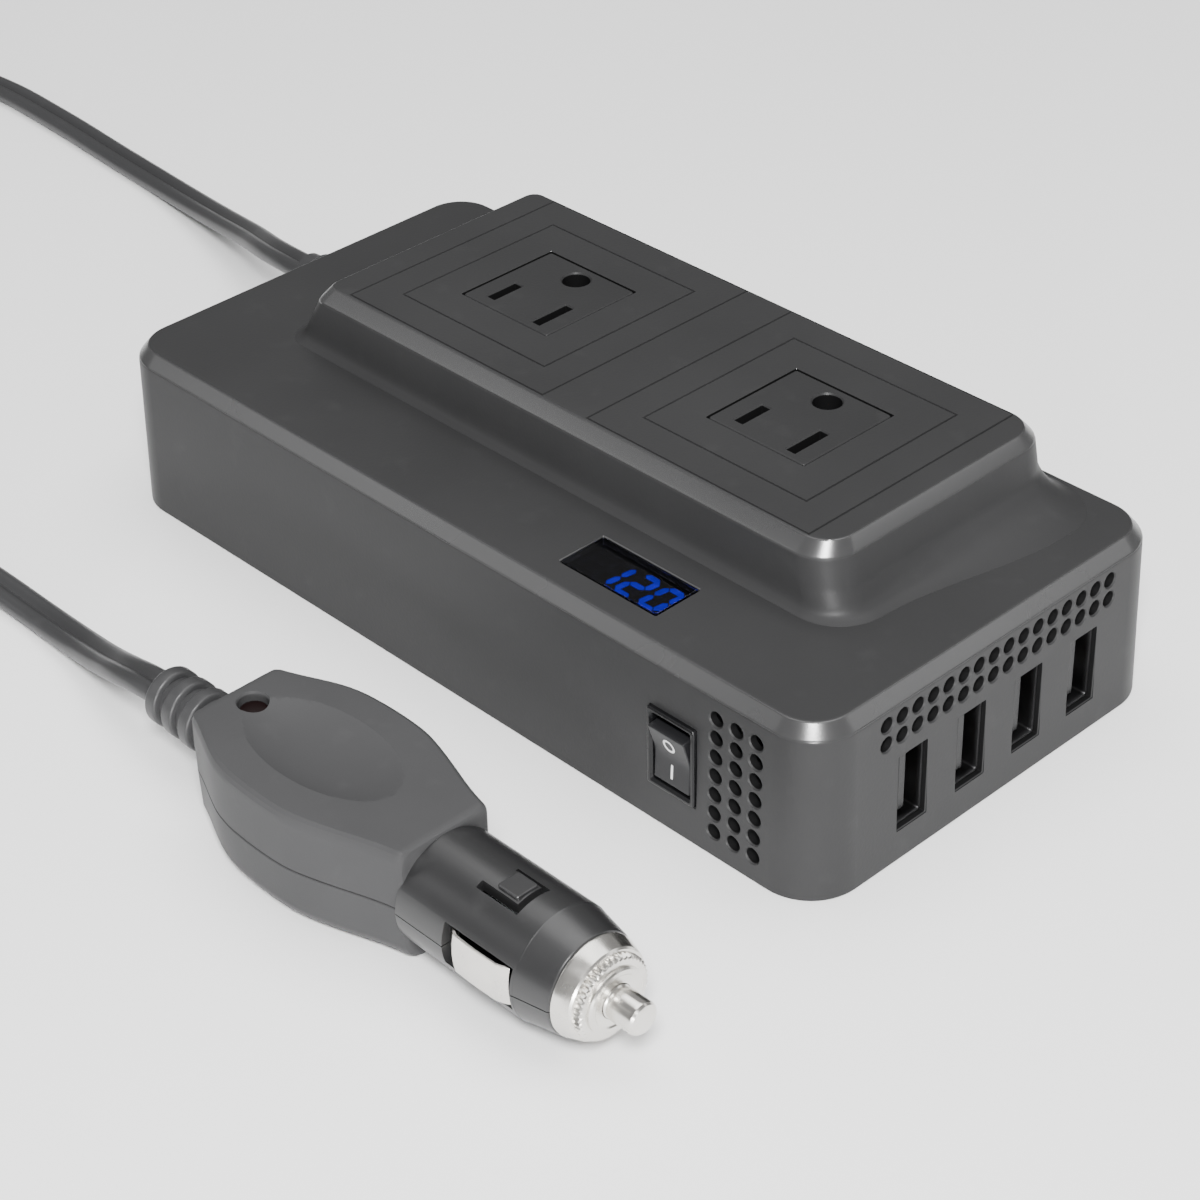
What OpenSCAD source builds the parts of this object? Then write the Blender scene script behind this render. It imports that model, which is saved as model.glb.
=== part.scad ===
// Portable 12 V power inverter with two three-pin outlets, four USB ports,
// a voltage display, a rocker switch and a captive lead to a 12 V vehicle plug.
// Millimetres. Origin at the middle of the case underside, +Z up,
// +X towards the USB end, -Y towards the switch side.

/* [Case] */
// Length of the case at its underside
case_l = 178; // [172:1:190]
// Width of the case at its underside
case_w = 88; // [86:1:96]
// Height of the low top deck
deck_h = 33.5; // [33:0.5:36]
// Radius of the upright corners
case_r = 10; // [8:0.5:12]
// Thickness of the side walls
wall = 2.2; // [2:0.1:2.6]
// Lean of the side walls from the underside up to the chamfer
draft = 0.8; // [0.4:0.1:1]
// Height of the chamfer band round the deck
band_h = 2.5; // [2:0.1:3]
// Inset of the chamfer band
band_in = 2.1; // [1.6:0.1:2.4]

/* [Outlet block] */
// Length of the raised outlet block at its foot
block_l = 136; // [134:1:140]
// Width of the raised outlet block
block_w = 56.5; // [55:0.5:58]
// Height of the top of the outlet block above the underside
block_top = 46; // [45.5:0.5:48]
// Shift of the block along X from the middle of the case
block_x = 2; // [0:0.5:3]
// Shift of the block along Y from the middle of the case
block_y = 9.75; // [9:0.25:10.5]
// Distance between the two outlet centres
outlet_pitch = 62; // [60:0.5:64]
// Side of the outlet face insert
face_side = 22; // [21.5:0.5:24]

/* [Display] */
// Length of the display window
display_l = 22.3; // [20:0.1:24]
// Width of the display window
display_w = 10; // [9:0.1:11]

/* [Switch] */
// Width of the switch bezel along X
bezel_w = 10.7; // [10:0.1:12]
// Height of the switch bezel
bezel_h = 15.5; // [15:0.1:17]
// Angle between the two positions of the rocker
rocker_travel = 14; // [12:1:20]

/* [USB ports] */
// Distance between neighbouring ports
usb_pitch = 14.3; // [13:0.1:14.5]
// Width of each opening in the case end
usb_open_w = 7; // [6.8:0.1:7.4]
// Height of each opening in the case end
usb_open_h = 14.7; // [14.5:0.1:15.2]

/* [Vents] */
// Diameter of the vent holes
vent_d = 2.8; // [2.4:0.1:3]
// Distance between vent holes
vent_pitch = 3.7; // [3.6:0.1:3.8]

/* [Fan] */
// Side of the square fan frame
fan_side = 25; // [20:1:25]
// Depth of the fan
fan_depth = 10; // [8:1:10]

/* [Vehicle plug] */
// Length of the grip body
grip_l = 51.5; // [48:0.5:54]
// Half of the grip's greatest width
grip_half_w = 15.3; // [15:0.1:16]
// Height of the grip body
grip_h = 22; // [22:0.5:24]
// Radius of the barrel that enters the vehicle socket
barrel_r = 10.2; // [10:0.05:10.35]
// Radius of the sprung centre tip
tip_r = 2.9; // [2.6:0.1:3.6]
// Travel of the sprung tip
tip_travel = 4; // [2:0.5:4]

/* [Lead] */
// Width of the flat twin lead
lead_w = 7; // [6:0.2:7.6]
// Thickness of the flat twin lead
lead_t = 3.6; // [3:0.1:3.8]

/* [Hidden] */
$fn = 48;

// Gap left between separate pieces that sit next to each other
fit_gap = 0.15;
deck_t = 2.2;
deck_under = deck_h - deck_t;
floor_t = 2.4;
case_edge = [[0, 0], [draft, deck_h - band_h], [draft + band_in, deck_h]];
cavity_edge = [[wall, -1], [wall, deck_h - 6.5], [wall + 1.6, deck_under]];

// Outlet block: wall, foot of the block on the deck, skirt that drops into the deck opening
block_wall = 2.4;
block_r = 7;
block_bevel = 2.5;
left_slope = 7.5;
right_slope = 2.5;
skirt_in = 1.4;
skirt_t = 1.1;
skirt_h = 3.4;
outlet_x = [4.3 - outlet_pitch / 2, 4.3 + outlet_pitch / 2];
outlet_y = 9.9;

// Three-pin outlet: blade spacing, ground offset and slot sizes
blade_gap = 12.7;
ground_gap = 11.9;
blade_y = -5;
slot_w = 2;
line_slot_l = 6.9;
neutral_slot_l = 8.4;
ground_r = 2.6;
face_t = 8;
face_gap = 0.3;
clip_top = 37;
clip_h = 9;
clip_t = 0.5;
clip_grip = 1.3;
strip_z = clip_top - clip_h;

// Display window place on the deck
display_x = 35.4;
display_y = -31;

// Rocker switch place on the long side
switch_x = 57.7;
switch_z = 15.25;
switch_face_y = -case_w / 2 + draft * 0.5;
rocker_w = 8.1;
rocker_h = 11.2;
rocker_axis_y = switch_face_y + 3.6;
pivot_r = 1;

// USB ports on the end
usb_x = case_l / 2 - 1.1;
usb_mid_y = 0.75;
usb_z = 13.45;
usb_depth = 14;
usb_shell_w = 6;
usb_shell_h = 13.6;
usb_shell_t = 0.3;
function usb_y(i) = usb_mid_y + (i - 2.5) * usb_pitch;

// Boards
board_t = 1.6;
main_board_z = 6;
board_top = main_board_z + board_t;

// Fan and its place at the cord end
fan_x = -case_l / 2 + wall + 0.6;
fan_y = -14;
fan_z = 15.4;

// Lead exit at the cord end
exit_y = 20;
exit_z = 15;
relief_l = 22;

// Vehicle plug axis
plug_x = 0.5;
plug_y = -87;
plug_z = grip_h / 2;
grip_arc = 54.5;
grip_mid = 24.5;
barrel_end = 83.5;
barrel_bore = 8.3;
tip_from = 76.2;
contact_root_x = 58;
contact_root_y = 6.7;
tip_l = 18.6;

// Centre line of the lead, from the case relief to the plug relief
lead_z = lead_t / 2 + 0.1;
lead_route = [
    [-111, 20, 15], [-112.5, 20, 15], [-114.5, 20, 15], [-125, 22.5, 13], [-140, 27.2, 9.6], [-155, 31.3, 6.3],
    [-170, 34.8, 3.7], [-186, 37.4, 2.2], [-205, 39, lead_z], [-232, 41, lead_z],
    [-256, 41.5, lead_z], [-278, 38, lead_z], [-296, 26, lead_z], [-304, 7, lead_z],
    [-301, -15, lead_z], [-289, -36, lead_z], [-269, -54, lead_z], [-242, -68, lead_z],
    [-210, -77, lead_z], [-175, -81.5, lead_z], [-140, -83, lead_z], [-105, -82.6, lead_z],
    [-80, -82, lead_z], [-61, -82.2, 2], [-50, -83.2, 3.4], [-40, -85, 6.1],
    [-31, -86.6, 9.2], [-24.5, -87, 10.8], [-21.5, -87, 11], [-20, -87, 11], [-19, -87, 11]
];

// ---------- Shared forms ----------

// Block with rounded upright corners; edge lists [inset, height] from bottom to top
module moulded_block(l, w, r, edge) {
    last = len(edge) - 1;
    function outline(half) = concat(
        [for (e = edge) [half - e[0], e[1]]],
        [for (i = [last:-1:0]) [e_inset(i) - half, edge[i][1]]]
    );
    function e_inset(i) = edge[i][0];
    rotate([90, 0, 90]) linear_extrude(l - 2 * r, center = true) polygon(outline(w / 2));
    rotate([90, 0, 0]) linear_extrude(w - 2 * r, center = true) polygon(outline(l / 2));
    for (sx = [-1, 1], sy = [-1, 1])
        translate([sx * (l / 2 - r), sy * (w / 2 - r), 0])
            rotate_extrude()
                polygon(concat([[0, edge[0][1]]], [for (e = edge) [r - e[0], e[1]]], [[0, edge[last][1]]]));
}

module centred_box(size, at) {
    translate(at) cube(size, center = true);
}

module disc_between(r, from_x, to_x) {
    translate([from_x, 0, 0]) rotate([0, 90, 0]) cylinder(r = r, h = to_x - from_x);
}

// ---------- Case ----------

// Round vent holes through the switch side: three columns of seven
module side_vents() {
    for (col = [0:2], row = [0:6])
        translate([67.1 + col * 4.3, -case_w / 2, 5 + row * vent_pitch])
            rotate([90, 0, 0]) cylinder(d = vent_d, h = 12, center = true, $fn = 24);
}

// Two rows of sixteen round vent holes over the USB ports
module end_vents() {
    for (col = [0:15], row = [0:1])
        translate([case_l / 2, usb_mid_y + (col - 7.5) * vent_pitch, 24.8 + row * vent_pitch])
            rotate([0, 90, 0]) cylinder(d = vent_d, h = 12, center = true, $fn = 24);
}

// Round field of vent holes in front of the fan
module fan_vents() {
    reach = fan_side / 2 - 1.2;
    for (col = [-3:3], row = [-3:3])
        if (norm([col, row]) * vent_pitch < reach)
            translate([-case_l / 2, fan_y + col * vent_pitch, fan_z + row * vent_pitch])
                rotate([0, 90, 0]) cylinder(d = vent_d, h = 12, center = true, $fn = 24);
}

module usb_openings() {
    for (i = [1:4])
        centred_box([14, usb_open_w, usb_open_h], [case_l / 2, usb_y(i), usb_z]);
}

// Upright posts inside the shell that take the screws from below
screw_at = [for (sx = [-1, 1], sy = [-1, 1]) [sx * (case_l / 2 - 9), sy * (case_w / 2 - 8)]];

module main_shell() {
    color([0.27, 0.27, 0.28])
    difference() {
        union() {
            difference() {
                moulded_block(case_l, case_w, case_r, case_edge);
                moulded_block(case_l, case_w, case_r, cavity_edge);
            }
            for (p = screw_at)
                translate([p[0], p[1], floor_t + fit_gap])
                    cylinder(r = 3, h = deck_under - floor_t);
            // Guides that hold the fan
            for (s = [-1, 1])
                centred_box([7, 1.2, 24], [-case_l / 2 + wall + 3, fan_y + s * (fan_side / 2 + 0.75), 20]);
        }
        for (p = screw_at)
            translate([p[0], p[1], 0]) cylinder(r = 1.1, h = 14);
        translate([block_x, block_y, 0])
            moulded_block(block_l - 2 * skirt_in + 0.2, block_w - 2 * skirt_in + 0.2,
                block_r - skirt_in + 0.1, [[0, deck_under - 1], [0, deck_h + 1]]);
        centred_box([display_l + 2 * fit_gap, display_w + 2 * fit_gap, 8], [display_x, display_y, deck_h]);
        centred_box([bezel_w + 0.1, 10, bezel_h + 0.1], [switch_x, -case_w / 2, switch_z]);
        side_vents();
        end_vents();
        fan_vents();
        usb_openings();
        translate([-case_l / 2, exit_y, exit_z])
            rotate([0, 90, 0]) cylinder(r = 5.1, h = 12, center = true);
    }
}

// Flat underside, held by four countersunk screws, with pillars for the boards
module base_plate() {
    color([0.2, 0.2, 0.21])
    difference() {
        union() {
            moulded_block(case_l, case_w, case_r, [[wall + fit_gap, 0], [wall + fit_gap, floor_t]]);
            for (x = [-64, 44], y = [-31, 31])
                translate([x, y, 0]) cylinder(r = 2.6, h = main_board_z);
            for (y = [-24, 26])
                translate([70, y, 0]) cylinder(r = 2, h = usb_z - usb_shell_h / 2 - board_t);
        }
        for (p = screw_at)
            translate([p[0], p[1], -1]) {
                cylinder(r = 1.6, h = 5);
                cylinder(r = 3, h = 2.2);
            }
    }
}

// Four cross-head screws seen from below
module case_screws() {
    color([0.55, 0.55, 0.57])
    for (p = screw_at)
        translate([p[0], p[1], 0.2])
            difference() {
                union() {
                    cylinder(r = 2.8, h = 0.9);
                    cylinder(r = 1.05, h = 9);
                }
                centred_box([3, 0.6, 0.8], [0, 0, 0]);
                centred_box([0.6, 3, 0.8], [0, 0, 0]);
            }
}

// ---------- Outlet block ----------

// Outer form of the raised block, moved inwards by inset on every side
module block_form(inset, from_z, to_z) {
    rise = to_z - deck_h;
    difference() {
        translate([block_x, block_y, 0])
            moulded_block(block_l, block_w, block_r,
                [[inset, from_z], [inset, to_z - block_bevel + inset * 0.4], [inset + block_bevel - inset * 0.4, to_z]]);
        // Leaning end towards the lead
        translate([block_x - block_l / 2 + inset * 1.2, block_y, deck_h])
            rotate([0, atan(left_slope / rise), 0])
                centred_box([40, block_w + 2, 60], [-20, 0, 0]);
        // Slightly leaning end towards the USB ports
        translate([block_x + block_l / 2 - inset, block_y, deck_h])
            rotate([0, -atan(right_slope / rise), 0])
                centred_box([40, block_w + 2, 60], [20, 0, 0]);
    }
}

// Fine square groove round an outlet, cut into the top
module square_groove(side) {
    groove_w = 0.5;
    translate([0, 0, block_top - groove_w])
        difference() {
            centred_box([side + groove_w, side + groove_w, 4], [0, 0, 2]);
            centred_box([side - groove_w, side - groove_w, 6], [0, 0, 2]);
        }
}

module outlet_block() {
    color([0.28, 0.28, 0.285])
    difference() {
        union() {
            difference() {
                block_form(0, deck_h, block_top);
                block_form(block_wall, deck_h - 1, block_top - block_wall);
            }
            // Skirt that drops through the deck
            translate([block_x, block_y, 0])
                difference() {
                    moulded_block(block_l, block_w, block_r,
                        [[skirt_in, deck_h - skirt_h], [skirt_in, deck_h + 1]]);
                    moulded_block(block_l, block_w, block_r,
                        [[skirt_in + skirt_t, deck_h - skirt_h - 1], [skirt_in + skirt_t, deck_h + 2]]);
                }
            // Snap teeth under the deck
            for (x = [-42, 0, 42], s = [-1, 1])
                centred_box([8, 1.6, 0.9], [block_x + x, block_y + s * (block_w / 2 - skirt_in), deck_h - skirt_h + 0.45]);
        }
        for (x = outlet_x)
            translate([x, outlet_y, 0]) {
                centred_box([face_side + 2 * face_gap, face_side + 2 * face_gap, 10], [0, 0, block_top]);
                square_groove(37.4);
                square_groove(51);
            }
        // Chamfer ends of the skirt stay inside the leaning end
        translate([block_x - block_l / 2, block_y, deck_h])
            rotate([0, atan(left_slope / (block_top - deck_h)), 0])
                centred_box([8, block_w + 2, 20], [-4, 0, 8.2]);
    }
}

// Insert with the two blade slots and the ground opening
module outlet_face(x) {
    color([0.29, 0.29, 0.295])
    translate([x, outlet_y, 0])
        difference() {
            union() {
                centred_box([face_side, face_side, face_t], [0, 0, block_top - face_t / 2]);
                centred_box([face_side + 4, face_side + 4, 2], [0, 0, block_top - block_wall - fit_gap - 1]);
            }
            centred_box([slot_w, line_slot_l, 30], [-blade_gap / 2, blade_y, block_top]);
            centred_box([slot_w, neutral_slot_l, 30], [blade_gap / 2, blade_y, block_top]);
            translate([0, blade_y + ground_gap, block_top - 15]) cylinder(r = ground_r, h = 30);
        }
}

// Double-leaf clip that grips one blade
module blade_clip(x, y, length) {
    for (s = [-1, 1])
        centred_box([clip_t, length, clip_h], [x + s * (clip_grip + clip_t) / 2, y, clip_top - clip_h / 2]);
    centred_box([clip_grip + 2 * clip_t, length, clip_t], [x, y, strip_z + clip_t / 2]);
}

// Brass strip that joins the clips of both outlets on one side of the blades
module contact_strip(offset_x, length, strip_y) {
    for (x = outlet_x) {
        blade_clip(x + offset_x, outlet_y + blade_y, length);
        centred_box([clip_grip + 2 * clip_t, 6, clip_t],
            [x + offset_x, outlet_y + (blade_y + strip_y) / 2, strip_z + clip_t / 2]);
    }
    centred_box([outlet_pitch + 6, 1.6, clip_t], [outlet_x[0] + offset_x + outlet_pitch / 2, outlet_y + strip_y, strip_z + clip_t / 2]);
}

module line_contacts() {
    color([0.8, 0.62, 0.25]) contact_strip(-blade_gap / 2, 6, blade_y - 5.4);
}

module neutral_contacts() {
    color([0.8, 0.62, 0.25]) contact_strip(blade_gap / 2, 6, blade_y + 5.4);
}

// Ground sleeves, slit along their length, on a common strip
module ground_contacts() {
    color([0.8, 0.62, 0.25])
    for (x = outlet_x)
        translate([x, outlet_y + blade_y + ground_gap, strip_z]) {
            difference() {
                cylinder(r = 3, h = clip_h);
                translate([0, 0, 0.6]) cylinder(r = 2.45, h = clip_h);
                centred_box([0.8, 8, 2 * clip_h], [0, 4, clip_h + 0.6]);
            }
            centred_box([2, 4, 0.6], [0, 4, 0.3]);
        }
    color([0.8, 0.62, 0.25])
    centred_box([outlet_pitch + 6, 2, 0.6], [outlet_x[0] + outlet_pitch / 2, outlet_y + blade_y + ground_gap + 6, strip_z + 0.3]);
}

// Insulating tray under the contacts, hung from the block on four posts
module contact_carrier() {
    color([0.82, 0.8, 0.74]) {
        centred_box([outlet_pitch + 34, 34, 1.6], [outlet_x[0] + outlet_pitch / 2, outlet_y, strip_z - 0.8 - fit_gap]);
        for (sx = [-1, 1], sy = [-1, 1])
            translate([outlet_x[0] + outlet_pitch / 2 + sx * 46, outlet_y + sy * 15.4, strip_z - 1])
                cylinder(r = 1.5, h = block_top - block_wall - strip_z + 1);
    }
}

// ---------- Display ----------

module display_window() {
    color([0.03, 0.03, 0.05, 0.85]) {
        centred_box([display_l, display_w, 2.6], [display_x, display_y, deck_h - 1.1]);
        centred_box([display_l + 2.4, display_w + 2.4, 1.2], [display_x, display_y, deck_under - 0.6 - fit_gap]);
    }
}

module display_module() {
    color([0.1, 0.1, 0.1])
    centred_box([display_l, display_w, 6], [display_x, display_y, deck_under - 4.4 - fit_gap]);
}

module display_board() {
    color([0.1, 0.35, 0.2])
    centred_box([30, 14, 1.2], [display_x - 1, display_y, deck_under - 8.1 - fit_gap]);
}

// ---------- Rocker switch ----------

module switch_frame() {
    color([0.05, 0.05, 0.055])
    difference() {
        union() {
            // Bezel that stands a little proud of the case side
            centred_box([bezel_w, 3.4, bezel_h], [switch_x, switch_face_y + 1.1, switch_z]);
            // Housing behind the wall
            centred_box([bezel_w - 1.2, 10, bezel_h - 2], [switch_x, switch_face_y + 6, switch_z]);
        }
        // Well for the rocker
        centred_box([rocker_w + 0.4, 9.2, bezel_h - 2.1], [switch_x, switch_face_y + 3.6, switch_z]);
        // Pivot holes for the rocker's trunnions
        translate([switch_x, rocker_axis_y, switch_z])
            rotate([0, 90, 0]) cylinder(r = pivot_r + 0.05, h = rocker_w + 1.4, center = true);
    }
}

// Rocker with a shallow V face, tipped so that its lower half is pressed in
module switch_rocker() {
    face_top = 4.6;
    face_mid = 3.7;
    color([0.09, 0.09, 0.095])
    translate([switch_x, rocker_axis_y, switch_z])
        rotate([rocker_travel / 2, 0, 0]) {
            rotate([90, 0, 90])
                linear_extrude(rocker_w, center = true)
                    polygon([
                        [-face_top, -rocker_h / 2], [-face_top + 2.2, -rocker_h / 2], [0, -3.2], [1.6, -1.4],
                        [1.6, 1.4], [0, 3.2], [-face_top + 2.2, rocker_h / 2], [-face_top, rocker_h / 2],
                        [-face_mid, 0]
                    ]);
            rotate([0, 90, 0]) cylinder(r = pivot_r, h = rocker_w + 1.2, center = true);
        }
}

module switch_terminals() {
    color([0.75, 0.75, 0.76])
    for (z = [-3.6, 3.6])
        centred_box([0.8, 7, 4.2], [switch_x, switch_face_y + 14.5, switch_z + z]);
}

// ---------- USB ports ----------

module usb_shell(i) {
    color([0.12, 0.12, 0.125])
    translate([usb_x, usb_y(i), usb_z])
        difference() {
            union() {
                centred_box([usb_depth, usb_shell_w, usb_shell_h], [-usb_depth / 2, 0, 0]);
                centred_box([0.5, usb_open_w - 0.3, usb_open_h - 0.3], [-0.25, 0, 0]);
            }
            centred_box([2 * usb_depth, usb_shell_w - 2 * usb_shell_t, usb_shell_h - 2 * usb_shell_t], [0, 0, 0]);
        }
}

// Insulator: block at the back of the shell and the tongue that carries the contacts
module usb_tongue(i) {
    color([0.06, 0.06, 0.06])
    translate([usb_x, usb_y(i), usb_z]) {
        centred_box([3, usb_shell_w - 2 * usb_shell_t - 0.1, usb_shell_h - 2 * usb_shell_t - 0.1], [-usb_depth + 1.6, 0, 0]);
        centred_box([10.4, 1.8, 11.2], [-usb_depth + 7.7, -0.5, 0]);
    }
}

// Four flat contacts on each tongue
module usb_contacts() {
    color([0.85, 0.68, 0.3])
    for (i = [1:4], k = [-3.5, -1, 1, 3.5])
        centred_box([8.4, 0.2, 1], [usb_x - usb_depth + 7.6, usb_y(i) + 0.5, usb_z + k]);
}

module usb_board() {
    color([0.1, 0.35, 0.2])
    centred_box([19.4, 4 * usb_pitch + 2, board_t], [usb_x - 11.2, usb_mid_y, usb_z - usb_shell_h / 2 - board_t / 2]);
}

// ---------- Electronics ----------

module main_board() {
    color([0.1, 0.38, 0.2])
    difference() {
        centred_box([118, 70, board_t], [-10, 0, main_board_z + board_t / 2]);
        for (x = [-64, 44], y = [-31, 31])
            translate([x, y, main_board_z - 1]) cylinder(r = 1.2, h = 4);
    }
}

// Ferrite core: two outer legs and yokes round a centre leg
module transformer_core() {
    color([0.2, 0.2, 0.2])
    difference() {
        centred_box([30, 12, 16], [-34, -2, board_top + 8]);
        centred_box([20, 14, 10], [-34, -2, board_top + 8]);
    }
    color([0.2, 0.2, 0.2]) centred_box([8, 12, 12], [-34, -2, board_top + 8]);
}

module transformer_coil() {
    color([0.75, 0.6, 0.2])
    difference() {
        centred_box([19.6, 24, 9.6], [-34, -2, board_top + 8]);
        centred_box([8.2, 12.2, 20], [-34, -2, board_top + 8]);
    }
}

module board_capacitors() {
    color([0.12, 0.15, 0.3])
    for (x = [-54, -40, -26])
        translate([x, -27, board_top]) cylinder(r = 6.25, h = 18);
    color([0.12, 0.15, 0.3]) translate([20, -12, board_top]) cylinder(r = 7, h = 14);
}

// Aluminium bar with upright fins
module heat_sink(x) {
    color([0.72, 0.73, 0.75])
    translate([x, 27, board_top]) {
        centred_box([44, 2, 15], [0, -2, 7.5]);
        for (k = [-5:5]) centred_box([1, 7, 15], [k * 4.2, 1.6, 7.5]);
    }
}

module transistors(x) {
    color([0.07, 0.07, 0.07])
    for (k = [-1.5, -0.5, 0.5, 1.5]) {
        centred_box([9.6, 4.4, 9], [x + k * 10.8, 21.75, board_top + 9]);
        for (leg = [-2.5, 0, 2.5]) centred_box([0.8, 0.5, 4.8], [x + k * 10.8 + leg, 21.75, board_top + 2.4]);
    }
}

module filter_choke() {
    color([0.7, 0.42, 0.2])
    translate([6, 4, board_top + 8]) rotate([90, 0, 0])
        rotate_extrude() translate([5.2, 0]) circle(r = 2.8, $fn = 24);
}

// ---------- Fan ----------

module fan_frame() {
    color([0.07, 0.07, 0.07])
    translate([fan_x, fan_y, fan_z])
        difference() {
            union() {
                difference() {
                    centred_box([fan_depth, fan_side, fan_side], [fan_depth / 2, 0, 0]);
                    disc_between(fan_side / 2 - 0.9, -1, fan_depth + 1);
                }
                // Motor seat and its three arms on the inner side
                disc_between(5, fan_depth - 1.4, fan_depth);
                for (a = [30, 150, 270])
                    rotate([a, 0, 0]) centred_box([1.2, 1.4, 8], [fan_depth - 0.7, 0, 8]);
            }
            // Bearing hole
            disc_between(0.8, fan_depth - 3, fan_depth + 1);
            for (sy = [-1, 1], sz = [-1, 1])
                translate([0, sy * 10, sz * 10]) disc_between(1.3, -1, fan_depth + 1);
        }
}

module fan_rotor() {
    color([0.1, 0.1, 0.1])
    translate([fan_x, fan_y, fan_z]) {
        disc_between(5, 1, fan_depth - 1.9);
        disc_between(0.75, fan_depth - 2.4, fan_depth - 0.2);
        intersection() {
            disc_between(fan_side / 2 - 1.5, 1, fan_depth - 2);
            for (k = [0:6])
                rotate([k * 360 / 7, 0, 0])
                    translate([(fan_depth - 1) / 2, 0, 7.5])
                        rotate([0, 0, 38]) centred_box([12, 0.9, 8], [0, 0, 0]);
        }
    }
}

// Wire that leaves the relief level and turns down to the board
module input_wire(y) {
    r = 1.25;
    bend_x = -66;
    translate([-84.4, y, exit_z]) rotate([0, 90, 0]) cylinder(r = r, h = bend_x + 84.4);
    translate([bend_x, y, exit_z]) sphere(r = r);
    translate([bend_x, y, board_top]) cylinder(r = r, h = exit_z - board_top);
}

module positive_wire() {
    color([0.7, 0.08, 0.06]) input_wire(exit_y - 1.75);
}

module negative_wire() {
    color([0.05, 0.05, 0.05]) input_wire(exit_y + 1.75);
}

// ---------- Lead ----------

// Moulded relief: inner flange, neck through the wall and a ribbed taper outside
module cord_relief() {
    color([0.08, 0.08, 0.085])
    translate([-case_l / 2, exit_y, exit_z]) rotate([0, -90, 0])
        rotate_extrude()
            polygon(concat(
                [[0, -wall - 2], [7, -wall - 2], [7, -wall - 0.3], [5, -wall - 0.3], [5, -0.1], [6.6, -0.1], [6.6, 2]],
                [for (k = [0:3], p = [[0, 0], [0, 2.6], [-0.9, 2.6], [-0.9, 4.4]])
                    [6 - 0.32 * k + p[0], 3 + 4.6 * k + p[1]]],
                [[4.6, relief_l], [0, relief_l]]
            ));
}

// Points between the route's own points, on a smooth curve through all of them
function spline(a, b, c, d, t) =
    0.5 * ((2 * b) + (c - a) * t + (2 * a - 5 * b + 4 * c - d) * t * t + (3 * b - a - 3 * c + d) * t * t * t);
function route_at(r, i) = r[max(0, min(len(r) - 1, i))];
function smooth(r) = [
    for (i = [0:len(r) - 2], t = [0, 0.5])
        spline(route_at(r, i - 1), r[i], r[i + 1], route_at(r, i + 2), t),
    r[len(r) - 1]
];
function unit(v) = v / norm(v);
function heading(r, i) = unit(route_at(r, i + 1) - route_at(r, i - 1));
function across(r, i) = unit(cross([0, 0, 1], heading(r, i)));

// Faces of a closed tube made of rings with the same number of points
function tube_faces(rings, sides) = concat(
    [for (i = [0:rings - 2], k = [0:sides - 1])
        [i * sides + k, i * sides + (k + 1) % sides, (i + 1) * sides + (k + 1) % sides, (i + 1) * sides + k]],
    [[for (k = [sides - 1:-1:0]) k]],
    [[for (k = [0:sides - 1]) (rings - 1) * sides + k]]
);

// Eight-sided flat tube through the route
module flat_tube(route, w, t) {
    section = [
        [w / 2, t * 0.22], [w * 0.33, t / 2], [-w * 0.33, t / 2], [-w / 2, t * 0.22],
        [-w / 2, -t * 0.22], [-w * 0.33, -t / 2], [w * 0.33, -t / 2], [w / 2, -t * 0.22]
    ];
    sides = len(section);
    rings = len(route);
    points = [for (i = [0:rings - 1], s = section)
        route[i] + across(route, i) * s[0] + cross(heading(route, i), across(route, i)) * s[1]];
    polyhedron(points = points, faces = tube_faces(rings, sides));
}

module cord() {
    color([0.22, 0.22, 0.23]) flat_tube(smooth(lead_route), lead_w, lead_t);
}

// ---------- Vehicle plug ----------

module at_plug() {
    translate([plug_x, plug_y, plug_z]) children();
}

// Grip: bulging sides from two large discs, with bevelled rims, cut to length
module grip_form() {
    intersection() {
        for_side(1);
        for_side(-1);
        centred_box([grip_l, 3 * grip_half_w, grip_h], [grip_l / 2, 0, 0]);
    }
}

module for_side(s) {
    translate([grip_mid, s * (grip_half_w - grip_arc), 0])
        rotate_extrude($fn = 180)
            polygon([
                [0, -grip_h / 2], [grip_arc - 3, -grip_h / 2], [grip_arc - 0.8, -grip_h / 2 + 2.6],
                [grip_arc, 0], [grip_arc, grip_h / 2 - 0.7], [grip_arc - 0.7, grip_h / 2], [0, grip_h / 2]
            ]);
}

module barrel_form() {
    disc_between(barrel_r, grip_l - 4, 77);
    translate([77, 0, 0]) rotate([0, 90, 0]) cylinder(r1 = barrel_r, r2 = 8.8, h = barrel_end - 77);
}

// Thumb dish: long shallow hollow in the top
module thumb_dish() {
    depth = 1.2;
    translate([22.5, 0, grip_h / 2 + 30 - depth]) rotate([0, 90, 0])
        rotate_extrude($fn = 120)
            polygon(concat([[0, -20]], [for (x = [-20:4:20]) [30 - x * x / 240, x]], [[0, 20]]));
}

// Hollow for the fuse, spring and wiring
module plug_hollow() {
    disc_between(barrel_bore, grip_l, barrel_end + 1);
    disc_between(4.6, 33, grip_l + 1);
    centred_box([30, 12, 12], [17.5, 0, 0]);
}

// Windows for the two side contacts
module contact_windows() {
    for (s = [-1, 1]) centred_box([15, 20, 7.8], [69, s * 10, -0.5 * s]);
}

// Slot round three sides of the springy tongue on the barrel top
module tongue_slot() {
    centred_box([9, 1.5, 12], [67.8, -3.6, barrel_r]);
    centred_box([1.2, 6.9, 12], [71.7, -0.9, barrel_r]);
    centred_box([7, 0.7, 12], [68.8, 2.2, barrel_r]);
}

// Post of the upper half that takes the screw
module screw_post() {
    translate([24, 0, 0])
        difference() {
            translate([0, 0, -5.8]) cylinder(r = 2.8, h = grip_h / 2 + 3);
            translate([0, 0, -6]) cylinder(r = 1.25, h = 8);
        }
}

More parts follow.
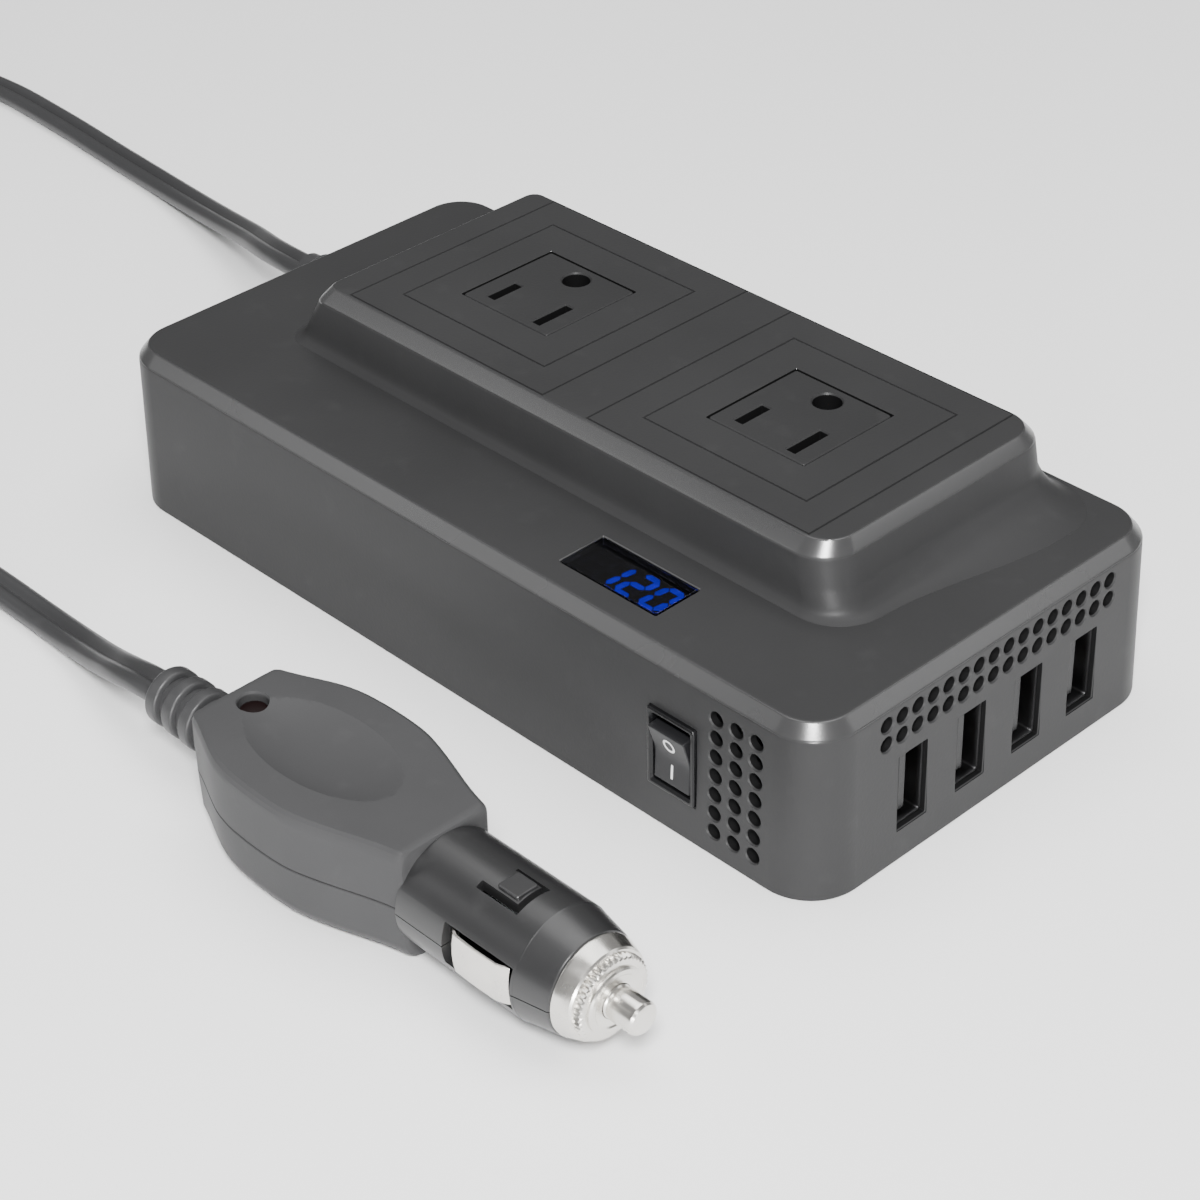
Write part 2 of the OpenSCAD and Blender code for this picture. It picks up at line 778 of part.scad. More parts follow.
module plug_half(top) {
    if (top) screw_post();
    difference() {
        union() {
            grip_form();
            barrel_form();
        }
        plug_hollow();
        contact_windows();
        if (top) tongue_slot();
        if (top) thumb_dish();
        if (top) translate([5, 0, grip_h / 2 - 3]) cylinder(r = 2.6, h = 5);
        if (top) translate([5, 0, 5]) cylinder(r = 1.6, h = 4);
        if (!top) translate([24, 0, -grip_h / 2 - 1]) cylinder(r = 2.6, h = 3);
        if (!top) translate([24, 0, -grip_h / 2 - 1]) cylinder(r = 1.3, h = 10);
        // Seat of the lead's relief
        disc_between(3.8, -1, 4);
        // Other half
        centred_box([200, 40, 40], [20, 0, top ? -20 + 0.08 : 20 - 0.08]);
    }
}

module plug_upper_half() {
    color([0.35, 0.35, 0.36]) at_plug() plug_half(true);
}

module plug_lower_half() {
    color([0.33, 0.33, 0.34]) at_plug() plug_half(false);
}

module plug_screw() {
    color([0.6, 0.6, 0.62])
    at_plug() translate([24, 0, -grip_h / 2 + 0.3])
        difference() {
            union() {
                cylinder(r = 2.4, h = 1.4);
                cylinder(r = 1.2, h = 11);
            }
            centred_box([3, 0.6, 0.9], [0, 0, 0]);
            centred_box([0.6, 3, 0.9], [0, 0, 0]);
        }
}

module plug_lamp_lens() {
    color([0.1, 0.02, 0.02])
    at_plug() translate([5, 0, grip_h / 2 - 3]) cylinder(r = 2.5, h = 2.8);
}

module plug_lamp() {
    color([0.8, 0.1, 0.1])
    at_plug() translate([5, 0, grip_h / 2 - 3.2 - 1.4]) cylinder(r = 1.5, h = 1.4);
}

// Ribbed boot where the lead enters the grip
module plug_relief() {
    color([0.3, 0.3, 0.31])
    at_plug() translate([-19.5, 0, 0]) rotate([0, 90, 0])
        rotate_extrude()
            polygon(concat(
                [[0, 0], [4.2, 0]],
                [for (k = [0:3], p = [[0, 0], [0.5, 0.5], [0.5, 2.1], [0, 2.6]])
                    [4.7 + 0.15 * k + p[0] - (p[1] == 0 || p[1] == 2.6 ? 0.8 : 0), 0.6 + 4.6 * k + p[1]]],
                [[4.7, 18.4], [4.7, 19.3], [3.7, 19.3], [3.7, 23.3], [0, 23.3]]
            ));
}

// Broad leaf that touches the side of the vehicle socket, with a rolled root inside the barrel
module side_contact(s) {
    color([0.85, 0.85, 0.84])
    at_plug() rotate([s < 0 ? 180 : 0, 0, 0]) translate([0, 0, -0.5])
        linear_extrude(7.2, center = true) {
            translate([contact_root_x, contact_root_y]) circle(r = 0.5);
            polygon([
                [58, 6.45], [61.6, 6.45], [64.6, 10.4], [73.4, 10.6], [75.6, 9.4],
                [75.9, 9.85], [73.6, 11.1], [64.4, 10.9], [61.3, 6.95], [58, 6.95]
            ]);
        }
}

// Sprung centre tip: shoulder held behind the cap, and a domed nose
module plug_tip() {
    color([0.86, 0.86, 0.85])
    at_plug() translate([tip_from, 0, 0]) rotate([0, 90, 0])
        rotate_extrude()
            polygon(concat(
                [[0, 0], [5.2, 0], [5.2, 2], [tip_r, 2], [tip_r, tip_l - 1.2]],
                [for (a = [15:15:75]) [tip_r - 1.2 + 1.2 * cos(a), tip_l - 1.2 + 1.2 * sin(a)]],
                [[tip_r - 1.2, tip_l], [0, tip_l]]
            ));
}

// Metal cap that closes the barrel and lets the fuse out
module plug_nose_cap() {
    bore = tip_r + 0.08;
    color([0.9, 0.9, 0.88])
    at_plug() translate([barrel_end, 0, 0]) rotate([0, 90, 0])
        rotate_extrude()
            polygon([
                [bore, -5.1], [8.2, -5.1], [8.2, 0.1], [8.7, 0.1], [8.7, 0.6], [6.9, 3.6], [6.9, 4.8],
                [6.3, 5.4], [bore, 5.4]
            ]);
}

module plug_fuse_glass() {
    color([0.8, 0.85, 0.85, 0.4])
    at_plug() difference() {
        disc_between(2.9, 50, 70.2);
        disc_between(2.3, 49, 72);
    }
}

module plug_fuse_caps() {
    color([0.85, 0.85, 0.86])
    at_plug() {
        disc_between(3.1, 44.2, 50);
        disc_between(3.1, 70.2, tip_from);
    }
}

// Coil spring behind the fuse: a round wire along a helix, its end turns flat
module plug_spring() {
    turns = 5;
    steps = 16;
    wire_r = 0.35;
    coil_r = 2.7;
    front = 43.8;
    back = 34;
    count = turns * steps;
    function lift(t) = back + (front - back) * max(0, min(1, (t - 0.12) / 0.76));
    function ring(i) = [lift(i / count), coil_r * cos(i * 360 / steps), coil_r * sin(i * 360 / steps)];
    function outward(i) = [0, cos(i * 360 / steps), sin(i * 360 / steps)];
    points = [for (i = [0:count], k = [0:7])
        ring(i) + wire_r * (cos(k * 45) * outward(i) + sin(k * 45) * [1, 0, 0])];
    color([0.7, 0.7, 0.72]) at_plug() polyhedron(points = points, faces = tube_faces(count + 1, 8));
}

main_shell();
base_plate();
case_screws();
outlet_block();
outlet_face(outlet_x[0]);  // left_outlet_face
outlet_face(outlet_x[1]);  // right_outlet_face
line_contacts();
neutral_contacts();
ground_contacts();
contact_carrier();
display_window();
display_module();
display_board();
switch_frame();
switch_rocker();
switch_terminals();
usb_shell(1);  // usb_shell_1
usb_shell(2);  // usb_shell_2
usb_shell(3);  // usb_shell_3
usb_shell(4);  // usb_shell_4
usb_tongue(1);  // usb_tongue_1
usb_tongue(2);  // usb_tongue_2
usb_tongue(3);  // usb_tongue_3
usb_tongue(4);  // usb_tongue_4
usb_contacts();
usb_board();
main_board();
transformer_core();
transformer_coil();
board_capacitors();
heat_sink(-32);  // input_heat_sink
heat_sink(20);  // output_heat_sink
transistors(-32);  // input_transistors
transistors(20);  // output_transistors
filter_choke();
fan_frame();
fan_rotor();
positive_wire();
negative_wire();
cord_relief();
cord();
plug_relief();
plug_upper_half();
plug_lower_half();
plug_screw();
plug_lamp_lens();
plug_lamp();
side_contact(-1);  // plug_front_contact
side_contact(1);  // plug_rear_contact
plug_tip();
plug_nose_cap();
plug_fuse_glass();
plug_fuse_caps();
plug_spring();
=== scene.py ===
# A power inverter for a 12 V vehicle socket: case, outlets, ports, switch, display, lead and plug.
import math

import bmesh
import bpy
from mathutils import Matrix, Vector


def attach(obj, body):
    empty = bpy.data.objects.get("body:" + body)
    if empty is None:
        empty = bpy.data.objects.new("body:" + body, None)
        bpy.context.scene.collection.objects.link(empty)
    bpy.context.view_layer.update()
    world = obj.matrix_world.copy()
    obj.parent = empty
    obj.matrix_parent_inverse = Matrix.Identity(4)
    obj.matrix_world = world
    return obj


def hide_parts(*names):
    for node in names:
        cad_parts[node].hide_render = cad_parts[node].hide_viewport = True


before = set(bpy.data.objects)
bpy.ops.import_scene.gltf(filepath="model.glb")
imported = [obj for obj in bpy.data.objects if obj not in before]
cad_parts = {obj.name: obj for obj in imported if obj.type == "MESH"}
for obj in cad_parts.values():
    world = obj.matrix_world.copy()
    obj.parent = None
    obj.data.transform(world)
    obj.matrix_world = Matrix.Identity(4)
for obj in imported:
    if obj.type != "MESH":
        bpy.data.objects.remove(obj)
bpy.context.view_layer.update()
MM = 0.001


# -------- Camera, floor and light
# A plain stand: a pale floor, one large soft light high over the far side, a small square one
# above the camera for the bevels, a low one for the near corner, and a weak one on each side.

CAMERA_AZIMUTH = 46.69
CAMERA_ELEVATION = 34.82
CAMERA_ROLL = -1.38
CAMERA_AT = Vector((0.32199, -0.30786, 0.3058))
LIGHT_DISTANCE = 0.9
FLOOR_HALF = 4


def aim_axes(azimuth, elevation, roll):
    """Right, up and back directions of a camera that looks at the object from there."""
    a = math.radians(azimuth)
    e = math.radians(elevation)
    t = math.radians(roll)
    right = Vector((math.cos(a), math.sin(a), 0))
    back = Vector((math.sin(a) * math.cos(e), -math.cos(a) * math.cos(e), math.sin(e)))
    up = back.cross(right)
    return right * math.cos(t) + up * math.sin(t), up * math.cos(t) - right * math.sin(t), back


def placed(right, up, back, at):
    """Matrix of an object whose own X, Y and Z are these directions."""
    return Matrix((
        (right.x, up.x, back.x, at.x),
        (right.y, up.y, back.y, at.y),
        (right.z, up.z, back.z, at.z),
        (0, 0, 0, 1),
    ))


def linked(name, data):
    """Object in the scene that shows this mesh, light or camera."""
    obj = bpy.data.objects.new(name, data)
    bpy.context.scene.collection.objects.link(obj)
    return obj


camera_data = bpy.data.cameras.new("camera")
camera_data.lens = 88.4
camera_data.sensor_width = 36
camera_data.clip_start = 0.01
camera = linked("camera", camera_data)
camera.matrix_world = placed(*aim_axes(CAMERA_AZIMUTH, CAMERA_ELEVATION, CAMERA_ROLL), CAMERA_AT)
bpy.context.scene.camera = camera


def mesh_object(name, verts, faces):
    """New object from points and faces."""
    mesh = bpy.data.meshes.new(name)
    mesh.from_pydata(verts, [], faces)
    mesh.update()
    return linked(name, mesh)


def new_material(name):
    """Material with one Principled BSDF, and that node."""
    mat = bpy.data.materials.new(name)
    mat.use_nodes = True
    return mat, mat.node_tree.nodes["Principled BSDF"]


floor_corners = [(x * FLOOR_HALF, y * FLOOR_HALF, 0) for x, y in ((-1, -1), (1, -1), (1, 1), (-1, 1))]
floor = mesh_object("floor", floor_corners, [(0, 1, 2, 3)])
floor_mat, floor_shader = new_material("floor")
floor_shader.inputs["Base Color"].default_value = (0.93, 0.93, 0.93, 1)
floor_shader.inputs["Roughness"].default_value = 0.7
floor_shader.inputs["Specular IOR Level"].default_value = 0.2
floor.data.materials.append(floor_mat)

world = bpy.data.worlds.new("studio")
world.use_nodes = True
world.node_tree.nodes["Background"].inputs["Color"].default_value = (1, 1, 1, 1)
world.node_tree.nodes["Background"].inputs["Strength"].default_value = 0.3
bpy.context.scene.world = world


def soft_light(name, azimuth, elevation, distance, size, power):
    """Rectangular light that stands in that direction and faces the object."""
    data = bpy.data.lights.new(name, "AREA")
    data.shape = "RECTANGLE"
    data.size = size[0]
    data.size_y = size[1]
    data.energy = power
    right, up, back = aim_axes(azimuth, elevation, 0)
    linked(name, data).matrix_world = placed(right, up, back, back * distance)


soft_light("light_over", 200, 80, 1.0, (1.1, 0.8), 10)
soft_light("light_key", 46, 46, LIGHT_DISTANCE, (0.2, 0.2), 14)
soft_light("light_low", 47, 5, LIGHT_DISTANCE, (0.1, 0.12), 7)
soft_light("light_right", 131, 29, LIGHT_DISTANCE, (0.3, 0.3), 0.5)
soft_light("light_left", -43, 27, LIGHT_DISTANCE, (0.3, 0.3), 0.4)


# -------- Lead
# Flat twin lead: two stranded conductors side by side in soft black PVC with a groove between
# them. It leaves the case at its hidden end, makes one loop on the table and comes to the plug.

LEAD_W = 7.0
LEAD_T = 3.6
lead_z = LEAD_T / 2 + 0.1
LEAD_ROUTE = [
    (-111, 20, 15), (-118, 20.6, 14.5), (-125, 22.1, 13.3), (-140, 27.2, 9.6), (-155, 31.3, 6.3),
    (-170, 34.8, 3.7), (-186, 37.4, 2.2), (-205, 39, lead_z), (-232, 41, lead_z),
    (-256, 41.5, lead_z), (-278, 38, lead_z), (-296, 26, lead_z), (-304, 7, lead_z),
    (-301, -15, lead_z), (-289, -36, lead_z), (-269, -54, lead_z), (-242, -68, lead_z),
    (-210, -77, lead_z), (-175, -81.5, lead_z), (-140, -83, lead_z), (-105, -82.6, lead_z),
    (-80, -82, lead_z), (-61, -82.2, 2), (-50, -83.2, 3.4), (-40, -85, 6.1),
    (-31, -86.6, 9.1), (-25, -87, 10.5), (-19, -87, 11),
]


def blend(p, q, start, end, t):
    """Point at t on the curve that leaves p along start and reaches q along end."""
    ease = 3 * t * t - 2 * t ** 3
    return p * (1 - ease) + q * ease + start * (t ** 3 - 2 * t * t + t) + end * (t ** 3 - t * t)


def smooth_route(points, parts):
    """Smooth curve through the points, with parts steps between neighbours."""
    pts = [Vector(p) for p in points]
    gaps = [(b - a).length for a, b in zip(pts, pts[1:])]
    headings = []
    for i in range(1, len(pts) - 1):
        before = (pts[i] - pts[i - 1]) / gaps[i - 1]
        after = (pts[i + 1] - pts[i]) / gaps[i]
        headings.append((before * gaps[i] + after * gaps[i - 1]) / (gaps[i] + gaps[i - 1]))
    headings.insert(0, (pts[1] - pts[0]) * 2 / gaps[0] - headings[0])
    headings.append((pts[-1] - pts[-2]) * 2 / gaps[-1] - headings[-1])
    line = []
    for i, gap in enumerate(gaps):
        for k in range(parts):
            line.append(blend(pts[i], pts[i + 1], headings[i] * gap, headings[i + 1] * gap, k / parts))
    line.append(pts[-1])
    return line


def ring_faces(rings, count, loop):
    """Quads between rings of count points each, with a flat face at each end or joined end to end."""
    faces = []
    for i in range(rings if loop else rings - 1):
        j = (i + 1) % rings
        for k in range(count):
            n = (k + 1) % count
            faces.append((i * count + k, i * count + n, j * count + n, j * count + k))
    if not loop:
        faces.append(tuple(range(count - 1, -1, -1)))
        faces.append(tuple((rings - 1) * count + k for k in range(count)))
    return faces


def faced_out(obj):
    """Turns every face of a closed solid outwards."""
    bm = bmesh.new()
    bm.from_mesh(obj.data)
    bmesh.ops.recalc_face_normals(bm, faces=bm.faces)
    bm.to_mesh(obj.data)
    bm.free()
    return obj


def loft(name, rings, loop=False):
    """Object whose surface runs through rings with the same number of points."""
    verts = [p for ring in rings for p in ring]
    return faced_out(mesh_object(name, verts, ring_faces(len(rings), len(rings[0]), loop)))


def finish_mesh(obj, body, mat, smooth_angle=32):
    """Sharp edges by angle, weighted normals, material, body and finish slot of a new piece."""
    mesh = obj.data
    mesh.polygons.foreach_set("use_smooth", [True] * len(mesh.polygons))
    mesh.set_sharp_from_angle(angle=math.radians(smooth_angle))
    weighted = obj.modifiers.new("weighted", "WEIGHTED_NORMAL")
    weighted.keep_sharp = True
    weighted.weight = 90
    mesh.materials.clear()
    mesh.materials.append(mat)
    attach(obj, body)
    return obj


def new_group(name, inputs):
    """Empty shader node group with these inputs, and a colour, a roughness and a height as outputs."""
    tree = bpy.data.node_groups.new(name, "ShaderNodeTree")
    for label, value in inputs.items():
        kind = "NodeSocketColor" if hasattr(value, "__len__") else "NodeSocketFloat"
        sock = tree.interface.new_socket(name=label, in_out="INPUT", socket_type=kind)
        sock.default_value = value
    for label, kind in (("Color", "Color"), ("Roughness", "Float"), ("Height", "Float")):
        tree.interface.new_socket(name=label, in_out="OUTPUT", socket_type="NodeSocket" + kind)
    return tree, tree.nodes.new("NodeGroupInput"), tree.nodes.new("NodeGroupOutput")


def add(tree, kind, settings=None, links=None):
    """Node with its settings, and values or sockets for its inputs."""
    node = tree.nodes.new(kind)
    for key, value in (settings or {}).items():
        setattr(node, key, value)
    for key, value in (links or {}).items():
        if hasattr(value, "is_output"):
            tree.links.new(value, node.inputs[key])
        else:
            node.inputs[key].default_value = value
    return node


def moulded_group():
    """Spark-eroded plastic: fine grain, soft cloudiness, faint handling marks on the colour."""
    tree, source, sink = new_group(
        "moulded_grain", {"Color": (0.1, 0.1, 0.1, 1), "Roughness": 0.5, "Grain Scale": 1500.0, "Wear": 0.3})
    place = add(tree, "ShaderNodeTexCoord").outputs["Object"]
    grain = add(tree, "ShaderNodeTexNoise", {}, {
        "Vector": place, "Scale": source.outputs["Grain Scale"], "Detail": 3.0, "Roughness": 0.6})
    cloud = add(tree, "ShaderNodeTexNoise", {}, {"Vector": place, "Scale": 28.0, "Detail": 4.0})
    marks = add(tree, "ShaderNodeTexNoise", {}, {"Vector": place, "Scale": 160.0, "Detail": 6.0})
    mark_mask = add(tree, "ShaderNodeMapRange", {}, {
        "Value": marks.outputs["Fac"], "From Min": 0.6, "From Max": 0.78})
    worn = add(tree, "ShaderNodeMath", {"operation": "MULTIPLY"}, {
        0: mark_mask.outputs["Result"], 1: source.outputs["Wear"]})
    tint = add(tree, "ShaderNodeMapRange", {}, {
        "Value": cloud.outputs["Fac"], "From Min": 0.3, "From Max": 0.7, "To Min": 0.93, "To Max": 1.07})
    shaded = add(tree, "ShaderNodeVectorMath", {"operation": "SCALE"}, {
        0: source.outputs["Color"], "Scale": tint.outputs["Result"]})
    pale = add(tree, "ShaderNodeMath", {"operation": "MULTIPLY"}, {0: worn.outputs[0], 1: 0.12})
    lighter = add(tree, "ShaderNodeMix", {"data_type": "RGBA"}, {
        "Factor": pale.outputs[0], 6: shaded.outputs[0], 7: (0.35, 0.35, 0.35, 1)})
    rough_cloud = add(tree, "ShaderNodeMapRange", {}, {
        "Value": cloud.outputs["Fac"], "From Min": 0.3, "From Max": 0.7, "To Min": -0.04, "To Max": 0.04})
    rough = add(tree, "ShaderNodeMath", {"operation": "ADD"}, {
        0: source.outputs["Roughness"], 1: rough_cloud.outputs["Result"]})
    rubbed = add(tree, "ShaderNodeMath", {"operation": "MULTIPLY_ADD"}, {
        0: worn.outputs[0], 1: -0.12, 2: rough.outputs[0]})
    tree.links.new(lighter.outputs[2], sink.inputs["Color"])
    tree.links.new(rubbed.outputs[0], sink.inputs["Roughness"])
    tree.links.new(grain.outputs["Fac"], sink.inputs["Height"])
    return tree


GRAIN = moulded_group()


def surfaced(name, group, values, depth, distance):
    """Material whose colour, roughness and relief come from a shader node group."""
    mat, shader = new_material(name)
    tree = mat.node_tree
    look = add(tree, "ShaderNodeGroup", {"node_tree": group}, values)
    relief = add(tree, "ShaderNodeBump", {}, {
        "Height": look.outputs["Height"], "Strength": depth, "Distance": distance})
    tree.links.new(look.outputs["Color"], shader.inputs["Base Color"])
    tree.links.new(look.outputs["Roughness"], shader.inputs["Roughness"])
    tree.links.new(relief.outputs["Normal"], shader.inputs["Normal"])
    return mat, shader


def plastic(name, color, roughness, grain=1500.0, depth=0.12, wear=0.3, specular=0.5):
    """Moulded plastic or rubber; grain is its fineness, depth its bump, wear the handling marks."""
    values = {"Color": (*color, 1), "Roughness": roughness, "Grain Scale": grain, "Wear": wear}
    mat, shader = surfaced(name, GRAIN, values, depth, 0.0002)
    shader.inputs["Specular IOR Level"].default_value = specular
    return mat


def twin_section(width, thick, steps=9):
    """Outline of two round lobes side by side with a groove between."""
    r = thick / 2
    offset = width / 2 - r
    reach = math.degrees(math.acos(min(1, (offset - 0.1) / r)))
    points = []
    for side in (1, -1):
        for k in range(steps + 1):
            a = -180 + reach + (360 - 2 * reach) * k / steps
            a = math.radians(a + (0 if side == 1 else 180))
            points.append((side * offset + r * math.cos(a), r * math.sin(a)))
    return points


def swept(name, line, section):
    """Surface that carries a flat section along a line, its width kept level."""
    rings = []
    for i, p in enumerate(line):
        ahead = (line[min(i + 1, len(line) - 1)] - line[max(i - 1, 0)]).normalized()
        across = Vector((0, 0, 1)).cross(ahead).normalized()
        up = ahead.cross(across)
        rings.append([tuple((p + across * u + up * v) * MM) for u, v in section])
    return loft(name, rings)


lead_line = smooth_route(LEAD_ROUTE, 6)
LEAD_RUBBER = plastic(
    "lead_rubber", (0.03, 0.03, 0.031), 0.36, grain=2200.0, depth=0.08, wear=0.2, specular=0.4)
lead = swept("power_lead", lead_line, twin_section(LEAD_W, LEAD_T))
finish_mesh(lead, "inverter", LEAD_RUBBER, 40)
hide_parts("cord")


# -------- Case shell
# One-piece ABS moulding with spark-eroded grain: sides with a slight draft, a chamfered band
# round the deck, round vent holes, port cut-outs and the pockets for the switch and display.

CASE_L = 178.0
CASE_W = 88.0
DECK_H = 33.5
CASE_R = 10.0
WALL = 2.2
DRAFT = 0.8
BAND_LOW = 31.0
BAND_IN = 2.9
USB_Y = [0.75 + (i - 1.5) * 14.3 for i in range(4)]
USB_Z = 13.45
VENT_PITCH = 3.7
FAN_Y = -14.0
FAN_Z = 15.4
FAN_VENT_REACH = 11.3
DISPLAY_X = 35.4
DISPLAY_Y = -31.0
SWITCH_X = 57.7
SWITCH_Z = 15.25
RELIEF_AT = (0, 20, 15)
CASE_GREY = plastic(
    "case_plastic", (0.024, 0.024, 0.0245), 0.44, grain=1700.0, depth=0.1, wear=0.1, specular=0.18)
# Chamfer bands: the lower roughness and higher specular are real polish; the base colour, a little lighter
# than the case, is a painted highlight.
BAND_POLISH_AND_SHEEN = plastic(
    "polished_band_with_painted_sheen", (0.028, 0.028, 0.0285), 0.25, grain=2400.0, depth=0.03, wear=0.0, specular=0.9)
# Painted shade: a near-black, dull copy of the plastic for the walls inside the openings, where only shade
# falls.
PAINTED_SHADE_WALL = plastic(
    "painted_shade_wall", (0.006, 0.006, 0.0062), 0.6, depth=0.1, wear=0.0, specular=0.1)


def rounded_outline(x0, x1, y0, y1, radii, steps=10):
    """Points of a rounded rectangle, counter-clockwise from its +X +Y corner; sizes in mm."""
    corners = [(x1, y1, -1, -1, 0), (x0, y1, 1, -1, 90), (x0, y0, 1, 1, 180), (x1, y0, -1, 1, 270)]
    if not hasattr(radii, "__len__"):
        radii = [radii] * 4
    points = []
    for (x, y, sx, sy, start), r in zip(corners, radii):
        for k in range(steps + 1):
            a = math.radians(start + 90 * k / steps)
            points.append((x + sx * r + r * math.cos(a), y + sy * r + r * math.sin(a)))
    return points


def turned(name, profile, steps=64, axis="x", at=(0, 0, 0)):
    """Turned piece: profile is a list of (along, radius) in mm along its axis."""
    rings = []
    for along, r in profile:
        ring = []
        for k in range(steps):
            a = 2 * math.pi * k / steps
            c = r * math.cos(a)
            s = r * math.sin(a)
            p = {"x": (along, c, s), "y": (s, along, c), "z": (c, s, along)}[axis]
            ring.append(tuple((p[i] + at[i]) * MM for i in range(3)))
        rings.append(ring)
    return loft(name, rings)


def joined(name, parts):
    """One object from several, which are removed."""
    bm = bmesh.new()
    for part in parts:
        bm.from_mesh(part.data)
        bpy.data.objects.remove(part)
    mesh = bpy.data.meshes.new(name)
    bm.to_mesh(mesh)
    bm.free()
    return linked(name, mesh)


def combine(obj, cutters, operation="DIFFERENCE"):
    """Boolean of obj with other objects, which are removed."""
    tool = joined(obj.name + "_tool", cutters) if len(cutters) > 1 else cutters[0]
    mod = obj.modifiers.new("cut", "BOOLEAN")
    mod.operation = operation
    mod.solver = "EXACT"
    mod.use_self = len(cutters) > 1
    mod.object = tool
    bpy.context.view_layer.update()
    made = bpy.data.meshes.new_from_object(obj.evaluated_get(bpy.context.evaluated_depsgraph_get()))
    obj.modifiers.clear()
    obj.data = made
    bpy.data.objects.remove(tool)
    return obj


def paint_shade_in_openings(obj, inside):
    """Paints shade on the walls of narrow openings with a near-black copy of the plastic; inside says which
    faces.
    """
    obj.data.materials.append(PAINTED_SHADE_WALL)
    for face in obj.data.polygons:
        if inside(*(face.center / MM), face.normal):
            face.material_index = len(obj.data.materials) - 1


def eased(points, radius, steps=4):
    """Open profile with its inner corners rounded off."""
    pts = [Vector(p) for p in points]
    out = [tuple(pts[0])]
    for before, corner, after in zip(pts, pts[1:], pts[2:]):
        reach = min(radius, (before - corner).length * 0.45, (after - corner).length * 0.45)
        a = corner + (before - corner).normalized() * reach
        b = corner + (after - corner).normalized() * reach
        for k in range(steps + 1):
            t = k / steps
            out.append(tuple(a * (1 - t) ** 2 + corner * 2 * t * (1 - t) + b * t * t))
    out.append(tuple(pts[-1]))
    return out


def polish_and_lighten_slopes(obj, mat, low, high):
    """Gives the sloping bands between two heights in mm their own polished finish, in a slightly lighter copy
    of the plastic: the polish is real, the extra lightness is a painted highlight.
    """
    obj.data.materials.append(mat)
    for face in obj.data.polygons:
        if low < face.center.z / MM < high and 0.35 < face.normal.z < 0.9:
            face.material_index = 1


def case_ring(inset, z):
    """Outline of the case at one height, drawn in by an inset."""
    outline = rounded_outline(
        inset - CASE_L / 2, CASE_L / 2 - inset, inset - CASE_W / 2, CASE_W / 2 - inset,
        max(CASE_R - inset, 0.6), 14)
    return [(x * MM, y * MM, z * MM) for x, y in outline]


def lifted(outline, level, axis):
    """Flat outline in mm as points at one level along an axis."""
    c = "xyz".index(axis)
    ring = []
    for u, v in outline:
        point = [level * MM] * 3
        point[(c + 1) % 3] = u * MM
        point[(c + 2) % 3] = v * MM
        ring.append(tuple(point))
    return ring


def mouth_box(name, low, high, face, side, chamfer=0.22, corner=0.4):
    """Cutter for a rectangular opening; face is the axis and height of the wall that it opens in."""
    axis, at = face
    levels = [(-6, 0), (-chamfer, 0), (0.05, -chamfer), (4, -chamfer)]
    rings = []
    for out, inset in levels:
        outline = rounded_outline(
            low[0] + inset, high[0] - inset, low[1] + inset, high[1] - inset, corner, 4)
        rings.append(lifted(outline, at + side * out, axis))
    return loft(name, rings)


def vent_cutter(axis, side, surface, across, up, radius=1.4):
    """Cutter for one round vent hole whose mouth is broken by a small chamfer."""
    profile = [(-6, radius), (-0.24, radius), (0.02, radius + 0.24), (3, radius + 0.24)]
    at = (0, across, up) if axis == "x" else (across, 0, up)
    return turned("vent", [(side * (surface + d), r) for d, r in profile], 20, axis, at)


def side_at(size, z):
    """Distance from the middle to the leaning wall at this height."""
    return size / 2 - DRAFT * z / BAND_LOW


outer = eased([(12, DECK_H), (BAND_IN, DECK_H), (DRAFT, BAND_LOW), (0, 0), (WALL, 0)], 0.4)
inner = [(WALL, 0), (WALL, 27), (3.8, DECK_H - WALL), (12, DECK_H - WALL)]
case = loft("case_shell", [case_ring(inset, z) for inset, z in outer[:-1] + inner])

cutters = []
for col in range(3):
    for row in range(7):
        z = 5 + row * VENT_PITCH
        cutters.append(vent_cutter("y", -1, side_at(CASE_W, z), 67.1 + col * 4.3, z))
for col in range(16):
    for row in range(2):
        z = 24.8 + row * VENT_PITCH
        cutters.append(vent_cutter("x", 1, side_at(CASE_L, z), 0.75 + (col - 7.5) * VENT_PITCH, z))
for col in range(-3, 4):
    for row in range(-3, 4):
        if math.hypot(col, row) * VENT_PITCH < FAN_VENT_REACH:
            z = FAN_Z + row * VENT_PITCH
            cutters.append(vent_cutter("x", -1, side_at(CASE_L, z), FAN_Y + col * VENT_PITCH, z))
for y in USB_Y:
    cutters.append(mouth_box(
        "port", (y - 3.5, USB_Z - 7.35), (y + 3.5, USB_Z + 7.35), ("x", 88.65), 1, 0.14, 0.25))
cutters.append(mouth_box(
    "window", (DISPLAY_X - 11.3, DISPLAY_Y - 5.15), (DISPLAY_X + 11.3, DISPLAY_Y + 5.15), ("z", DECK_H), 1))
cutters.append(mouth_box(
    "switch", (SWITCH_Z - 7.8, SWITCH_X - 5.4), (SWITCH_Z + 7.8, SWITCH_X + 5.4), ("y", -43.6), -1, 0.15))
cutters.append(mouth_box("deck", (-62.5, -17), (68.5, 36.5), ("z", DECK_H), 1, 0.1, 5))
cutters.append(turned("lead_hole", [(-95, 5.1), (-80, 5.1)], 32, "x", RELIEF_AT))
combine(case, cutters)
finish_mesh(case, "inverter", CASE_GREY)
# The sloping band round the deck gets the polish and the painted highlight.
polish_and_lighten_slopes(case, BAND_POLISH_AND_SHEEN, BAND_LOW - 0.5, DECK_H)


